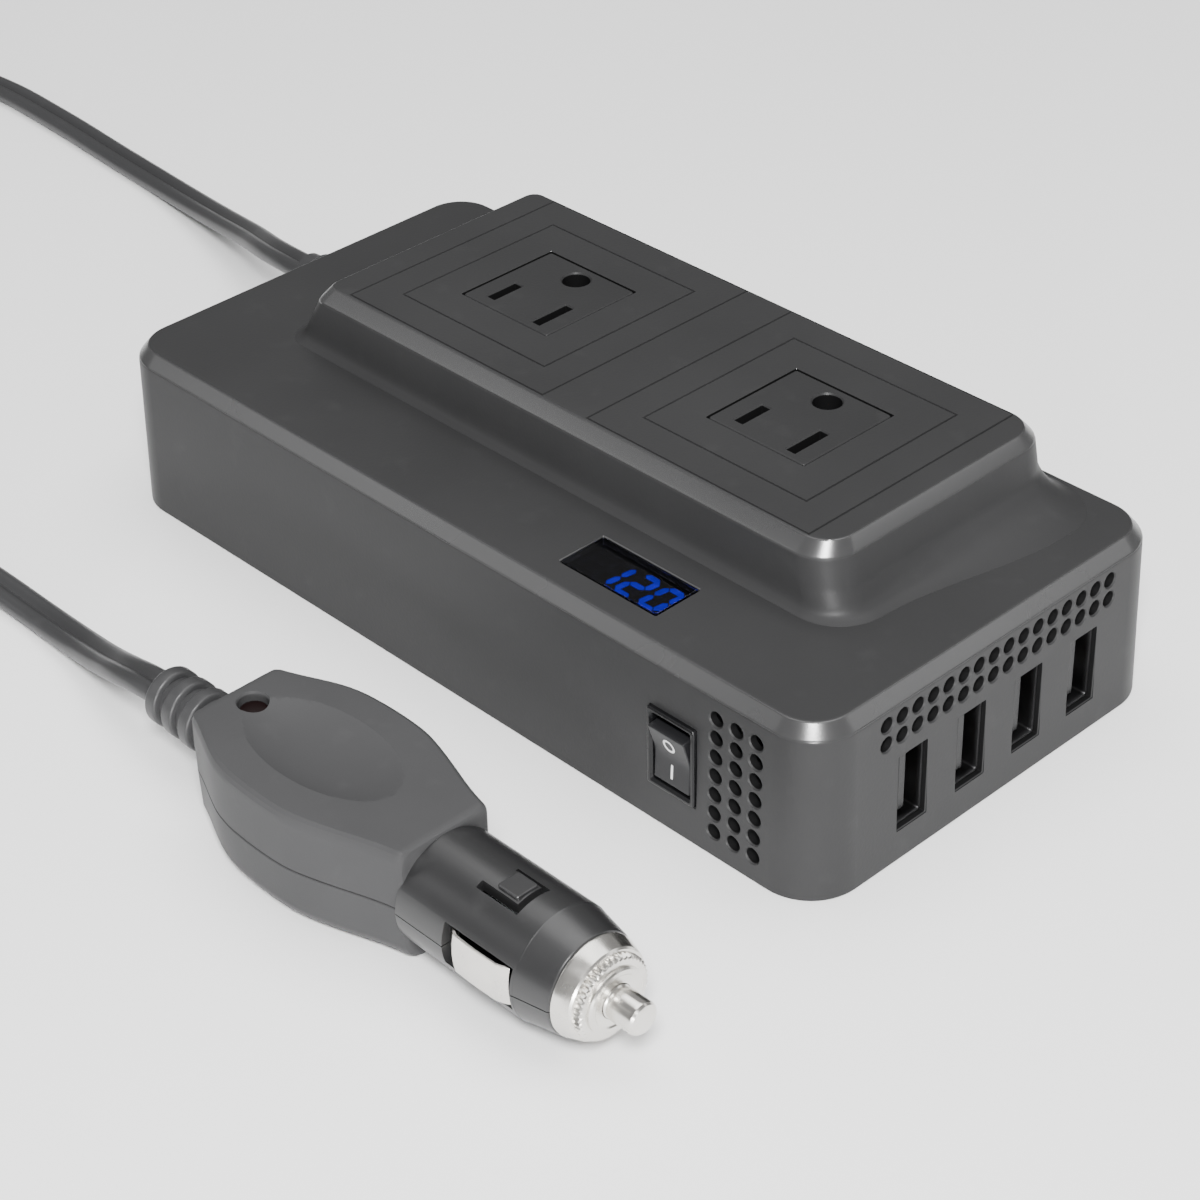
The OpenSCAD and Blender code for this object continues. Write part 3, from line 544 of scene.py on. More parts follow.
def in_case_opening(x, y, z, normal):
    """Walls of the vents and ports in the ends, and of the vents and the switch hole in the side."""
    in_end = abs(x) > 86 and abs(y) < 33 and abs(normal.x) < 0.3
    in_side = y < -41 and 50 < x < 78 and abs(normal.y) < 0.3
    return 2 < z < BAND_LOW and (in_end or in_side)


# Painted shade on the walls inside the end vents, the ports, the side vents and the switch hole.
paint_shade_in_openings(case, in_case_opening)
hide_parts("main_shell")


# -------- Raised outlet block
# A second moulding in the same plastic. Its rim is chamfered, its foot sweeps out onto the
# deck, and fine square grooves frame each outlet.

OUTLET_X = [-26.7, 35.3]
OUTLET_Y = 9.9
BLOCK_TOP = 46.0

# Height, then left, right, front and back edge, then corner radius at the left and at the right
BLOCK_LEVELS = [
    (46.0, -48.0, 56.0, -7.0, 27.0, 1.0, 2.0),
    (46.0, -57.6, 65.4, -15.8, 35.3, 2.0, 5.0),
    (45.93, -58.0, 65.7, -16.1, 35.6, 2.3, 5.3),
    (45.7, -58.35, 65.95, -16.35, 35.85, 2.6, 5.6),
    (43.8, -59.6, 67.2, -18.15, 37.65, 3.0, 7.0),
    (43.5, -59.8, 67.4, -18.38, 37.88, 3.0, 7.2),
    (43.1, -60.0, 67.5, -18.5, 38.0, 3.0, 7.3),
    (38.4, -62.8, 68.4, -18.66, 38.16, 3.2, 7.5),
    (37.4, -63.4, 68.9, -18.7, 38.2, 3.2, 7.5),
    (36.3, -64.0, 69.4, -18.75, 38.25, 3.3, 7.6),
    (35.4, -64.6, 69.9, -18.85, 38.4, 3.4, 7.8),
    (34.7, -65.2, 70.4, -19.05, 38.7, 3.7, 8.1),
    (34.2, -65.8, 71.0, -19.4, 39.1, 4.1, 8.5),
    (33.8, -66.5, 71.8, -19.9, 39.6, 4.7, 9.0),
    (33.54, -67.3, 72.8, -20.5, 40.2, 5.4, 9.6),
    (33.3, -67.4, 72.9, -20.6, 40.3, 5.4, 9.6),
]


def block_ring(z, x0, x1, y0, y1, left, right):
    """Outline at one height; below 38.4 the right end flares out towards the back."""
    flare = 6.5 * min(1, max(0, (38.4 - z) / 4.9)) ** 2.5
    outline = rounded_outline(x0, x1, y0, y1, (right, left, left, right), 10)
    points = []
    for i, (x, y) in enumerate(outline):
        points.append((x, y))
        ahead = outline[(i + 1) % len(outline)]
        if abs(ahead[1] - y) > 20:
            points += [(x, y + (ahead[1] - y) * k / 12) for k in range(1, 12) if x > 0]
    shifted = []
    for x, y in points:
        back = min(1, max(0, (y + 12) / 40))
        shift = flare * back * back * (3 - 2 * back) * min(1, max(0, x - x1 + 20) / 20)
        shifted.append(((x + shift) * MM, y * MM, z * MM))
    return shifted


def slab(name, low, high, edge=0.2, corner=None, up="z", steps=3):
    """Box in mm, rounded along the edges of its two end faces and along its upright corners."""
    c = "xyz".index(up)
    a = (c + 1) % 3
    b = (c + 2) % 3
    corner = edge if corner is None else corner
    quarter = [math.radians(90 * k / steps) for k in range(steps + 1)]
    levels = [(low[c] + edge * (1 - math.cos(t)), edge * (1 - math.sin(t))) for t in quarter]
    levels += [(low[c] + high[c] - z, inset) for z, inset in reversed(levels)]
    rings = []
    for z, inset in levels:
        outline = rounded_outline(
            low[a] + inset, high[a] - inset, low[b] + inset, high[b] - inset,
            max(corner - inset, 0.02), 4)
        rings.append(lifted(outline, z, up))
    return loft(name, rings)


def square_groove(x, y, side, width=0.42, depth=0.4):
    """Cutter for a fine square groove with sloping walls."""
    half = width / 2
    floor_half = width / 5
    section = [(-half, 0.3), (half, 0.3), (half, 0), (floor_half, -depth), (-floor_half, -depth), (-half, 0)]
    rings = []
    for sx, sy in ((1, 1), (-1, 1), (-1, -1), (1, -1)):
        rings.append([
            ((x + sx * (side / 2 + u)) * MM, (y + sy * (side / 2 + u)) * MM, (BLOCK_TOP + v) * MM)
            for u, v in section])
    return loft("groove", rings, loop=True)


block = loft("outlet_housing", [block_ring(*level) for level in BLOCK_LEVELS])
cutters = []
for x in OUTLET_X:
    cutters.append(square_groove(x, OUTLET_Y, 51))
    cutters.append(square_groove(x, OUTLET_Y, 37.4))
    cutters.append(mouth_box(
        "pocket", (x - 11.3, OUTLET_Y - 11.3), (x + 11.3, OUTLET_Y + 11.3), ("z", BLOCK_TOP), 1, 0.06, 0.3))
combine(block, cutters)
combine(block, [
    slab("well", (x - 13.2, OUTLET_Y - 13.2, 32), (x + 13.2, OUTLET_Y + 13.2, 43), 0.1) for x in OUTLET_X])
finish_mesh(block, "inverter", CASE_GREY)
# The rim chamfer of the block gets the polish and the painted highlight.
polish_and_lighten_slopes(block, BAND_POLISH_AND_SHEEN, 43.2, 45.99)


def in_pocket(x, y, z, normal):
    """Walls of the square pockets that take the outlet faces."""
    aside = min(abs(x - middle) for middle in OUTLET_X)
    return z > 40 and max(aside, abs(y - OUTLET_Y)) < 13.5 and abs(normal.z) < 0.3


# Painted shade on the walls of the square outlet pockets.
paint_shade_in_openings(block, in_pocket)
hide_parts("outlet_block")


# -------- Outlet faces
# Square inserts of the same plastic, each with a short and a long blade slot and a round
# ground hole with lead-in chamfers; stamped brass clips stand behind them.

def metal_group():
    """Plated or drawn metal: fine streaks along one axis and soft dull patches."""
    tree, source, sink = new_group(
        "metal_surface", {"Color": (0.8, 0.8, 0.8, 1), "Roughness": 0.2, "Streak": 0.3, "Dulling": 0.3})
    place = add(tree, "ShaderNodeTexCoord").outputs["Object"]
    stretch = add(tree, "ShaderNodeMapping", {}, {"Vector": place, "Scale": (4000.0, 180.0, 180.0)})
    streak = add(tree, "ShaderNodeTexNoise", {}, {"Vector": stretch.outputs[0], "Scale": 1.0, "Detail": 2.0})
    patch = add(tree, "ShaderNodeTexNoise", {}, {"Vector": place, "Scale": 210.0, "Detail": 5.0})
    dull = add(tree, "ShaderNodeMapRange", {}, {
        "Value": patch.outputs["Fac"], "From Min": 0.42, "From Max": 0.72})
    dulled = add(tree, "ShaderNodeMath", {"operation": "MULTIPLY"}, {
        0: dull.outputs["Result"], 1: source.outputs["Dulling"]})
    darker = add(tree, "ShaderNodeMapRange", {}, {"Value": dulled.outputs[0], "To Min": 1.0, "To Max": 0.72})
    color = add(tree, "ShaderNodeVectorMath", {"operation": "SCALE"}, {
        0: source.outputs["Color"], "Scale": darker.outputs["Result"]})
    rough = add(tree, "ShaderNodeMath", {"operation": "MULTIPLY_ADD"}, {
        0: dulled.outputs[0], 1: 0.35, 2: source.outputs["Roughness"]})
    height = add(tree, "ShaderNodeMath", {"operation": "MULTIPLY"}, {
        0: streak.outputs["Fac"], 1: source.outputs["Streak"]})
    tree.links.new(color.outputs[0], sink.inputs["Color"])
    tree.links.new(rough.outputs[0], sink.inputs["Roughness"])
    tree.links.new(height.outputs[0], sink.inputs["Height"])
    return tree


METAL = metal_group()


def metal(name, color, roughness, streak=0.3, dulling=0.3, bump=0.15):
    """Bare or plated metal."""
    values = {"Color": (*color, 1), "Roughness": roughness, "Streak": streak, "Dulling": dulling}
    mat, shader = surfaced(name, METAL, values, bump, 0.0001)
    shader.inputs["Metallic"].default_value = 1.0
    return mat


def paint_node(node, mat):
    """Gives a CAD node one material on all its slots."""
    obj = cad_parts[node]
    if not obj.material_slots:
        obj.data.materials.append(mat)
    for holder in obj.material_slots:
        holder.material = mat


FACE_GREY = plastic(
    "outlet_face_plastic", (0.022, 0.022, 0.0225), 0.38, grain=1900.0, depth=0.1, wear=0.14, specular=0.2)
BRASS = metal("contact_brass", (0.72, 0.5, 0.2), 0.28, 0.3, 0.5)


# Blade slots by their middle and length along X and Y; the ground hole stands behind them
BLADE_W = 2.0
NEUTRAL_SLOT = (-6.35, 6.9)
LINE_SLOT = (6.35, 8.4)
SLOT_Y = OUTLET_Y - 5
GROUND_Y = SLOT_Y + 11.9
FACE_TOP = BLOCK_TOP - 0.05


def outlet_face(name, x, node):
    """One insert: slots with chamfered mouths, and plain openings through to the contacts."""
    face = slab(name, (x - 11, OUTLET_Y - 11, 38), (x + 11, OUTLET_Y + 11, FACE_TOP), 0.3, 0.6)
    ground = [(30, 2.6), (FACE_TOP - 0.3, 2.6), (FACE_TOP + 0.02, 2.9), (50, 2.9)]
    mouths = []
    through = []
    for middle, length in (NEUTRAL_SLOT, LINE_SLOT):
        low = (x + middle - BLADE_W / 2, SLOT_Y - length / 2)
        high = (x + middle + BLADE_W / 2, SLOT_Y + length / 2)
        mouths.append(mouth_box("slot", low, high, ("z", FACE_TOP), 1, 0.25, 0.15))
        through.append(slab("deep", (*low, 36), (*high, 41), 0.02))
    mouths.append(turned("ground", ground, 40, "z", (x, GROUND_Y, 0)))
    combine(face, mouths)
    combine(face, through)
    finish_mesh(face, "inverter", FACE_GREY)

    def in_slot(px, py, pz, normal):
        inside = max(abs(px - x), abs(py - OUTLET_Y)) < 10.5
        return inside and pz < 45.7 and abs(normal.z) < 0.3

    # Painted shade on the walls inside the blade slots and the ground hole.
    paint_shade_in_openings(face, in_slot)
    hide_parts(node)


outlet_face("left_face_insert", OUTLET_X[0], "left_outlet_face")
outlet_face("right_face_insert", OUTLET_X[1], "right_outlet_face")
for node in ("line_contacts", "neutral_contacts", "ground_contacts", "usb_contacts"):
    paint_node(node, BRASS)


# -------- Voltage display
# Smoked lens over a black three-digit LED module; the lit segments glow blue, the unlit
# ones stay as grey shapes under the lens.

lens_mat, lens_shader = new_material("smoked_lens")
lens_tree = lens_mat.node_tree
lens_look = add(lens_tree, "ShaderNodeGroup", {"node_tree": GRAIN}, {
    "Color": (0.12, 0.12, 0.17, 1), "Roughness": 0.06, "Grain Scale": 900.0, "Wear": 0.2})
lens_tree.links.new(lens_look.outputs["Roughness"], lens_shader.inputs["Roughness"])
lens_tree.links.new(lens_look.outputs["Color"], lens_shader.inputs["Base Color"])
lens_shader.inputs["Transmission Weight"].default_value = 1.0
lens_shader.inputs["IOR"].default_value = 1.3
lens = slab(
    "display_lens", (DISPLAY_X - 11.15, DISPLAY_Y - 5, 32.3), (DISPLAY_X + 11.15, DISPLAY_Y + 5, 33.62),
    0.25, 0.5)
finish_mesh(lens, "inverter", lens_mat)
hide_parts("display_window")

MODULE_BLACK = plastic("display_body", (0.008, 0.008, 0.009), 0.35, grain=1200.0, depth=0.05)
paint_node("display_module", MODULE_BLACK)
module_face = slab(
    "display_face", (DISPLAY_X - 11, DISPLAY_Y - 4.85, 29.4), (DISPLAY_X + 11, DISPLAY_Y + 4.85, 31.6), 0.2)
finish_mesh(module_face, "inverter", MODULE_BLACK)

# Lit bars of each digit, lettered clockwise from the top with g in the middle
LIT_BARS = {"1": "bc", "2": "abged", "0": "abcdef"}
DIGIT_H = 7.5
DIGIT_W = 4.5
DIGIT_LEAN = 0.14
DIGIT_AT = (-3.6, 1.9, 7.4)
STROKE = 1.15
STROKE_GAP = 0.12


def segment_bars():
    """Corner points of the seven bars of a digit around its middle."""
    w = DIGIT_W / 2
    h = DIGIT_H / 2
    s = STROKE / 2

    def across(y):
        end = w - s - STROKE_GAP
        return [(-end, y), (s - end, y + s), (end - s, y + s), (end, y), (end - s, y - s), (s - end, y - s)]

    def upright(x, y0, y1):
        low = y0 + STROKE_GAP
        top = y1 - STROKE_GAP
        return [(x, low), (x + s, low + s), (x + s, top - s), (x, top), (x - s, top - s), (x - s, low + s)]

    return {
        "a": across(h - s), "g": across(0), "d": across(s - h),
        "f": upright(s - w, 0, h - s), "b": upright(w - s, 0, h - s),
        "e": upright(s - w, s - h, 0), "c": upright(w - s, s - h, 0),
    }


def flat_prism(name, shapes, place, low, high):
    """Prisms over flat outlines; place turns an outline point and a height into a position."""
    verts = []
    faces = []
    for shape in shapes:
        n = len(shape)
        base = len(verts)
        verts += [place(u, v, low) for u, v in shape] + [place(u, v, high) for u, v in shape]
        faces.append(tuple(base + k for k in reversed(range(n))))
        faces.append(tuple(base + n + k for k in range(n)))
        faces += [(base + k, base + (k + 1) % n, base + n + (k + 1) % n, base + n + k) for k in range(n)]
    return faced_out(mesh_object(name, verts, faces))


def on_display(u, v, h):
    """Point on the display, leaning as its digits do."""
    return ((DISPLAY_X + u + v * DIGIT_LEAN) * MM, (DISPLAY_Y + v) * MM, h * MM)


bars = segment_bars()
lit = []
unlit = []
for center, digit in zip(DIGIT_AT, LIT_BARS):
    for key, bar in bars.items():
        shape = [(center + u, v) for u, v in bar]
        (lit if key in LIT_BARS[digit] else unlit).append(shape)
# Six small unlit marks beside the digits
for x in (-10.2, -7.9):
    for y in (2.6, 0.2, -2.2):
        unlit.append([(x, y), (x + 1.7, y), (x + 1.7, y + 0.8), (x, y + 0.8)])


def glow(name, color, strength):
    """Lit plastic whose brightness varies a little over its face."""
    mat, shader = new_material(name)
    tree = mat.node_tree
    place = add(tree, "ShaderNodeTexCoord").outputs["Object"]
    spread = add(tree, "ShaderNodeTexNoise", {}, {"Vector": place, "Scale": 500.0, "Detail": 2.0})
    level = add(tree, "ShaderNodeMapRange", {}, {
        "Value": spread.outputs["Fac"], "From Min": 0.3, "From Max": 0.7, "To Min": 0.75, "To Max": 1.15})
    tone = add(tree, "ShaderNodeVectorMath", {"operation": "SCALE"}, {
        0: color, "Scale": level.outputs["Result"]})
    tree.links.new(tone.outputs[0], shader.inputs["Emission Color"])
    shader.inputs["Emission Strength"].default_value = strength
    shader.inputs["Base Color"].default_value = (0.02, 0.02, 0.03, 1)
    shader.inputs["Roughness"].default_value = 0.4
    return mat


BLUE_GLOW = glow("segment_glow", (0.006, 0.004, 1.0), 2.6)
GREY_SEGMENT = plastic("segment_unlit", (0.05, 0.05, 0.055), 0.4, grain=900.0, depth=0.02)
digits = flat_prism("lit_segments", lit, on_display, 31.5, 31.72)
finish_mesh(digits, "inverter", BLUE_GLOW)
ghosts = flat_prism("unlit_segments", unlit, on_display, 31.5, 31.66)
finish_mesh(ghosts, "inverter", GREY_SEGMENT)


# -------- Rocker switch
# Snap-in switch: a glossy black frame in the side wall and a satin rocker with a shallow V face,
# marked with a bar for on and a ring for off. It turns on two pins in the frame.

BEZEL_FRONT = -44.25
ROCKER_AXIS_Y = -40.0
ROCKER_REST = math.radians(7)
ROCKER_HALF_H = 5.6
ROCKER_HALF_W = 4.05
SWITCH_BLACK = plastic(
    "switch_plastic", (0.005, 0.005, 0.0055), 0.25, depth=0.03, wear=0.2, specular=0.3)
ROCKER_BLACK = plastic(
    "rocker_plastic", (0.011, 0.011, 0.012), 0.34, grain=2200.0, depth=0.05, wear=0.3, specular=0.25)


def bevelled(obj, width, segments=2, angle=25):
    """Rounds the sharp edges of a simple solid."""
    bm = bmesh.new()
    bm.from_mesh(obj.data)
    bmesh.ops.recalc_face_normals(bm, faces=bm.faces)
    sharp = [e for e in bm.edges if len(e.link_faces) == 2 and e.calc_face_angle() > math.radians(angle)]
    bmesh.ops.bevel(bm, geom=sharp, offset=width * MM, segments=segments, profile=0.5,
                    affect="EDGES", clamp_overlap=True)
    bm.to_mesh(obj.data)
    bm.free()
    return obj


bezel = slab(
    "switch_bezel", (SWITCH_X - 5.35, BEZEL_FRONT, SWITCH_Z - 7.75), (SWITCH_X + 5.35, -33, SWITCH_Z + 7.75),
    0.35, 0.6, "y")
well = mouth_box(
    "well", (SWITCH_Z - 6.7, SWITCH_X - 4.25), (SWITCH_Z + 6.7, SWITCH_X + 4.25),
    ("y", BEZEL_FRONT), -1, 0.45)
combine(bezel, [well])
finish_mesh(bezel, "inverter", SWITCH_BLACK)
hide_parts("switch_frame")


def on_rocker(u, v, h):
    """u along X, v up the rocker's face, h out of the pivot; turned to the rocker's rest angle."""
    return (
        (SWITCH_X + u) * MM,
        (ROCKER_AXIS_Y - h * math.cos(ROCKER_REST) - v * math.sin(ROCKER_REST)) * MM,
        (SWITCH_Z - h * math.sin(ROCKER_REST) + v * math.cos(ROCKER_REST)) * MM,
    )


def face_height(v):
    """Height of the V face over the pivot, with its valley rounded."""
    return 3.7 + 0.9 * (math.sqrt((v / ROCKER_HALF_H) ** 2 + 0.03) - 0.173) / 0.842


face_line = [(v, face_height(v)) for v in [ROCKER_HALF_H * (1 - k / 8) for k in range(17)]]
back_line = [(-ROCKER_HALF_H, 2.4), (-3.2, 0), (-1.4, -1.6), (1.4, -1.6), (3.2, 0), (ROCKER_HALF_H, 2.4)]
rings = [[on_rocker(u, v, h) for v, h in face_line + back_line] for u in (-ROCKER_HALF_W, ROCKER_HALF_W)]
rocker = bevelled(loft("rocker_cap", rings), 0.28, 3)
pins = turned("pins", [(-4.65, 0.98), (4.65, 0.98)], 24, "x", (SWITCH_X, ROCKER_AXIS_Y, SWITCH_Z))
combine(rocker, [pins], "UNION")
finish_mesh(rocker, "rocker", ROCKER_BLACK)
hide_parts("switch_rocker")

RING_STEPS = 40
RING_Y = 2.75
RING_INNER = 0.68


def ring_point(k, scale):
    """Point on the ring that marks off."""
    a = 2 * math.pi * k / RING_STEPS
    return (1.25 * scale * math.cos(a), RING_Y + 1.45 * scale * math.sin(a))


mark_quads = [[(-0.22, -4.2), (0.22, -4.2), (0.22, -1.5), (-0.22, -1.5)]]
for k in range(RING_STEPS):
    mark_quads.append([
        ring_point(k, 1), ring_point(k + 1, 1), ring_point(k + 1, RING_INNER), ring_point(k, RING_INNER)])


def on_rocker_face(u, v, h):
    """Point over the rocker's V face."""
    return on_rocker(u, v, face_height(v) + h)


marks = flat_prism("rocker_marks", mark_quads, on_rocker_face, -0.02, 0.03)
MARK_WHITE = plastic("mark_ink", (0.7, 0.7, 0.7), 0.5, depth=0.03)
finish_mesh(marks, "rocker", MARK_WHITE)
paint_node("switch_terminals", metal("tinned_brass", (0.7, 0.68, 0.62), 0.3))


# -------- USB ports
# Four standing USB-A receptacles: folded steel shells with a flared lip, blackened, each with a
# black tongue that carries four gilt contacts.

PORT_STEEL = metal("port_steel", (0.07, 0.07, 0.072), 0.3, 0.4, 0.4)
PORT_BLACK = plastic(
    "port_plastic", (0.008, 0.008, 0.0085), 0.25, depth=0.04, wear=0.0, specular=0.3)

# Half width, half height, place along X and corner radius, out along the shell and back inside it
SLEEVE = [
    (3.0, 6.8, 73.9, 0.6), (3.0, 6.8, 87.0, 0.6), (3.3, 7.1, 87.55, 0.7), (3.3, 7.1, 87.75, 0.7),
    (2.95, 6.75, 87.7, 0.5), (2.7, 6.5, 86.9, 0.4), (2.7, 6.5, 73.9, 0.4),
]

for i, y in enumerate(USB_Y, 1):
    rings = [
        lifted(rounded_outline(y - w, y + w, USB_Z - h, USB_Z + h, corner, 4), x, "x")
        for w, h, x, corner in SLEEVE]
    shell = loft(f"usb_sleeve_{i}", rings, loop=True)
    finish_mesh(shell, "inverter", PORT_STEEL, 25)
    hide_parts(f"usb_shell_{i}")
    tongue = slab(
        f"usb_blade_{i}", (76.4, y - 1.4, USB_Z - 5.6), (86.8, y + 0.4, USB_Z + 5.6), 0.25, 0.3, "x")
    root = slab("root", (73.95, y - 2.62, USB_Z - 6.42), (77.0, y + 2.62, USB_Z + 6.42), 0.1, 0.1, "x")
    combine(tongue, [root], "UNION")
    finish_mesh(tongue, "inverter", PORT_BLACK)
    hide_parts(f"usb_tongue_{i}")


# -------- Vehicle plug body
# Grip and barrel in two halves screwed together: a broad grip with a thumb dish and an indicator
# lens, and a barrel with a springy tongue on top and a window on each side.

PLUG_X = 0.5
PLUG_Y = -87.0
PLUG_Z = 11.0
GRIP_L = 51.5
GRIP_H = 11.0
BARREL_R = 10.2
WINDOW_FROM = 61.5
WINDOW_TO = 76.5
WINDOW_HALF_H = 3.9
LEAF_SHIFT = 0.5
LAMP_X = 5
SCREW_X = 24
PLUG_GREY = plastic(
    "plug_plastic", (0.046, 0.046, 0.047), 0.42, grain=1900.0, depth=0.1, wear=0.15, specular=0.08)
BARREL_BLACK = plastic(
    "barrel_plastic", (0.014, 0.014, 0.0145), 0.32, grain=2400.0, depth=0.03, wear=0.2, specular=0.6)
GRIP_WIDTH = [
    (0, 9.0), (4, 10.6), (8, 12.4), (12, 14.0), (16, 14.9), (20, 15.25), (25, 15.35),
    (30, 15.1), (34, 14.3), (39, 12.8), (44, 11.1), (48, 9.9), (51.5, 9.1),
]


def between(table, x):
    """Smooth value from a table of (x, value)."""
    last = len(table) - 1
    i = max(0, min(last, sum(a < x for a, value in table)) - 1)
    before, here, ahead, beyond = (table[max(0, min(last, i + step))] for step in (-1, 0, 1, 2))
    gap = ahead[0] - here[0]
    start = (ahead[1] - before[1]) / (ahead[0] - before[0]) * gap
    end = (beyond[1] - here[1]) / (beyond[0] - here[0]) * gap
    return blend(here[1], ahead[1], start, end, min(1, max(0, (x - here[0]) / gap)))


def plug_point(x, y, z):
    """Point placed from the plug's own origin."""
    return ((PLUG_X + x) * MM, (PLUG_Y + y) * MM, (PLUG_Z + z) * MM)


def grip_section(x, inset, side):
    """Half section of the grip: side 1 is the upper half, -1 the lower."""
    w = between(GRIP_WIDTH, x) - inset
    top = GRIP_H - inset
    if side > 0:
        edge = [(w - 0.15, 0.1), (w, 0.25), (w, top - 2.0), (w - 0.1, top - 1.1), (w - 0.45, top - 0.4),
                (w - 1.1, top - 0.05), (w - 2.4, top)]
    else:
        edge = [(w - 0.15, -0.1), (w, -0.25), (w - 0.25, 3.6 - top), (w - 0.55, 2.6 - top),
                (w - 1.2, 1.4 - top), (w - 2.2, 0.5 - top), (w - 3.6, 0.08 - top), (w - 5.2, -top)]
    half = [plug_point(x, y, z) for y, z in edge]
    return half + [plug_point(x, -y, z) for y, z in reversed(edge)]


def half_disc(x, r, side, steps=40):
    """Half section of the barrel."""
    points = []
    for k in range(steps + 1):
        a = math.pi * k / steps
        points.append(plug_point(x, r * math.cos(a), side * max(0.1, r * math.sin(a))))
    return points


def plug_turned(name, profile, steps=64):
    """Piece turned about the plug's own axis."""
    return turned(name, profile, steps, "x", (PLUG_X, PLUG_Y, PLUG_Z))


def plug_slab(name, low, high, edge=0.1, corner=None):
    """Rounded box placed from the plug's own origin."""
    shift = (PLUG_X, PLUG_Y, PLUG_Z)
    return slab(name, [a + b for a, b in zip(low, shift)], [a + b for a, b in zip(high, shift)], edge, corner)


BARREL = [
    (50.9, BARREL_R), (76.9, BARREL_R), (77.05, 10.16), (77.2, 10.08), (83.1, 8.93), (83.35, 8.8),
    (83.5, 8.5)]


def plug_half(name, side):
    """Grip and barrel of one half, bored out and with half of each side window."""
    ends = [(0, 0.9), (0.12, 0.45), (0.4, 0.12), (0.9, 0)]
    stations = ends + [(1.5 + 48.5 * k / 30, 0) for k in range(31)]
    stations += [(GRIP_L - x, inset) for x, inset in reversed(ends)]
    half = loft(name, [grip_section(x, inset, side) for x, inset in stations])
    barrel = loft("barrel", [half_disc(x, r, side) for x, r in BARREL])
    combine(half, [barrel], "UNION")
    combine(half, [plug_turned("bore", [(GRIP_L, 8.3), (90, 8.3)])])
    for y, middle in ((-14, LEAF_SHIFT), (0, -LEAF_SHIFT)):
        low = (WINDOW_FROM, y, middle - WINDOW_HALF_H)
        high = (WINDOW_TO, y + 14, middle + WINDOW_HALF_H)
        combine(half, [plug_slab("window", low, high, 0.1, 0.3)])
    return half


def finish_plug_half(half, node):
    """Grained grip and polished barrel of one moulding."""
    finish_mesh(half, "inverter", PLUG_GREY, 20)
    half.data.materials.append(BARREL_BLACK)
    for face in half.data.polygons:
        if face.center.x > (PLUG_X + GRIP_L + 0.3) * MM:
            face.material_index = 1
    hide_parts(node)


upper = plug_half("plug_upper_shell", 1)
DISH_ALONG = 24.7
DISH_ACROSS = 12.6
DISH_DOWN = 6.0
dish = plug_turned("dish", [
    (22.5 + DISH_ALONG * math.sin(math.radians(a)), DISH_ACROSS * math.cos(math.radians(a)))
    for a in range(-88, 89, 4)], 120)
for v in dish.data.vertices:
    v.co.z = (PLUG_Z + GRIP_H + 4.3 + (v.co.z / MM - PLUG_Z) * DISH_DOWN / DISH_ACROSS) * MM
combine(upper, [dish])
# Slot round three sides of the springy tongue: from x and y, to y
for from_x, from_y, to_y in ((63.3, -4.3, -2.9), (71.1, -4.3, 2.5), (65.3, 1.9, 2.5)):
    combine(upper, [plug_slab("slot", (from_x, from_y, 7.5), (72.3, to_y, 14), 0.02)])
pad = plug_slab("pad", (66.2, -2.6, 9.0), (70.7, 1.7, 10.55), 0.25, 0.4)
combine(upper, [pad], "UNION")
combine(upper, [turned("lamp_hole", [(17.5, 2.6), (21.6, 2.6), (22.05, 2.85), (24, 2.85)], 40, "z",
                       (PLUG_X + LAMP_X, PLUG_Y, 0))])
finish_plug_half(upper, "plug_upper_half")

lower = plug_half("plug_lower_shell", -1)
combine(lower, [turned("screw_hole", [(-1, 2.6), (2, 2.6)], 32, "z", (PLUG_X + SCREW_X, PLUG_Y, 0))])
finish_plug_half(lower, "plug_lower_half")

LENS_RED = plastic(
    "lamp_lens", (0.006, 0.0025, 0.0025), 0.3, grain=800.0, depth=0.01, wear=0.0, specular=0.15)
lamp = turned("indicator_lens", [(19.0, 2.45), (20.2, 2.45), (20.4, 2.3), (20.5, 1.9), (20.55, 0.3)], 40, "z",
              (PLUG_X + LAMP_X, PLUG_Y, 0))
finish_mesh(lamp, "inverter", LENS_RED)
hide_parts("plug_lamp_lens")


# -------- Plug metalwork
# Nickel-plated brass: a screwed nose cap with a knurled ring, the sprung centre tip, and a
# spring leaf in each side window.

NICKEL = metal("nickel_plate", (0.74, 0.72, 0.68), 0.2, 0.15, 0.35, 0.08)

cap = plug_turned("nose_cap", [
    (78.4, 8.0), (83.5, 8.0), (83.5, 8.5), (83.7, 8.7), (84.1, 8.72), (86.6, 7.9), (86.9, 7.6),
    (87.0, 7.0), (87.0, 5.9), (87.25, 5.75), (88.6, 5.6), (88.85, 5.3), (88.9, 4.6), (88.7, 4.3),
    (88.7, 3.0), (78.4, 3.0)], 96)
TEETH = 44
knurl_rings = []
for x, r, depth in ((86.5, 6.75, 0), (86.7, 7.05, 0.2), (88.0, 7.0, 0.2), (88.2, 6.7, 0.12), (88.25, 6.2, 0)):
    ring = []
    for k in range(TEETH * 6):
        a = 2 * math.pi * k / (TEETH * 6)
        tooth = r + depth * math.cos(TEETH * a)
        ring.append(plug_point(x, tooth * math.cos(a), tooth * math.sin(a)))
    knurl_rings.append(ring)
combine(cap, [loft("knurl", knurl_rings)], "UNION")
combine(cap, [plug_turned("cap_bore", [(78, 3.0), (90, 3.0)], 48)])
finish_mesh(cap, "inverter", NICKEL, 25)
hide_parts("plug_nose_cap")

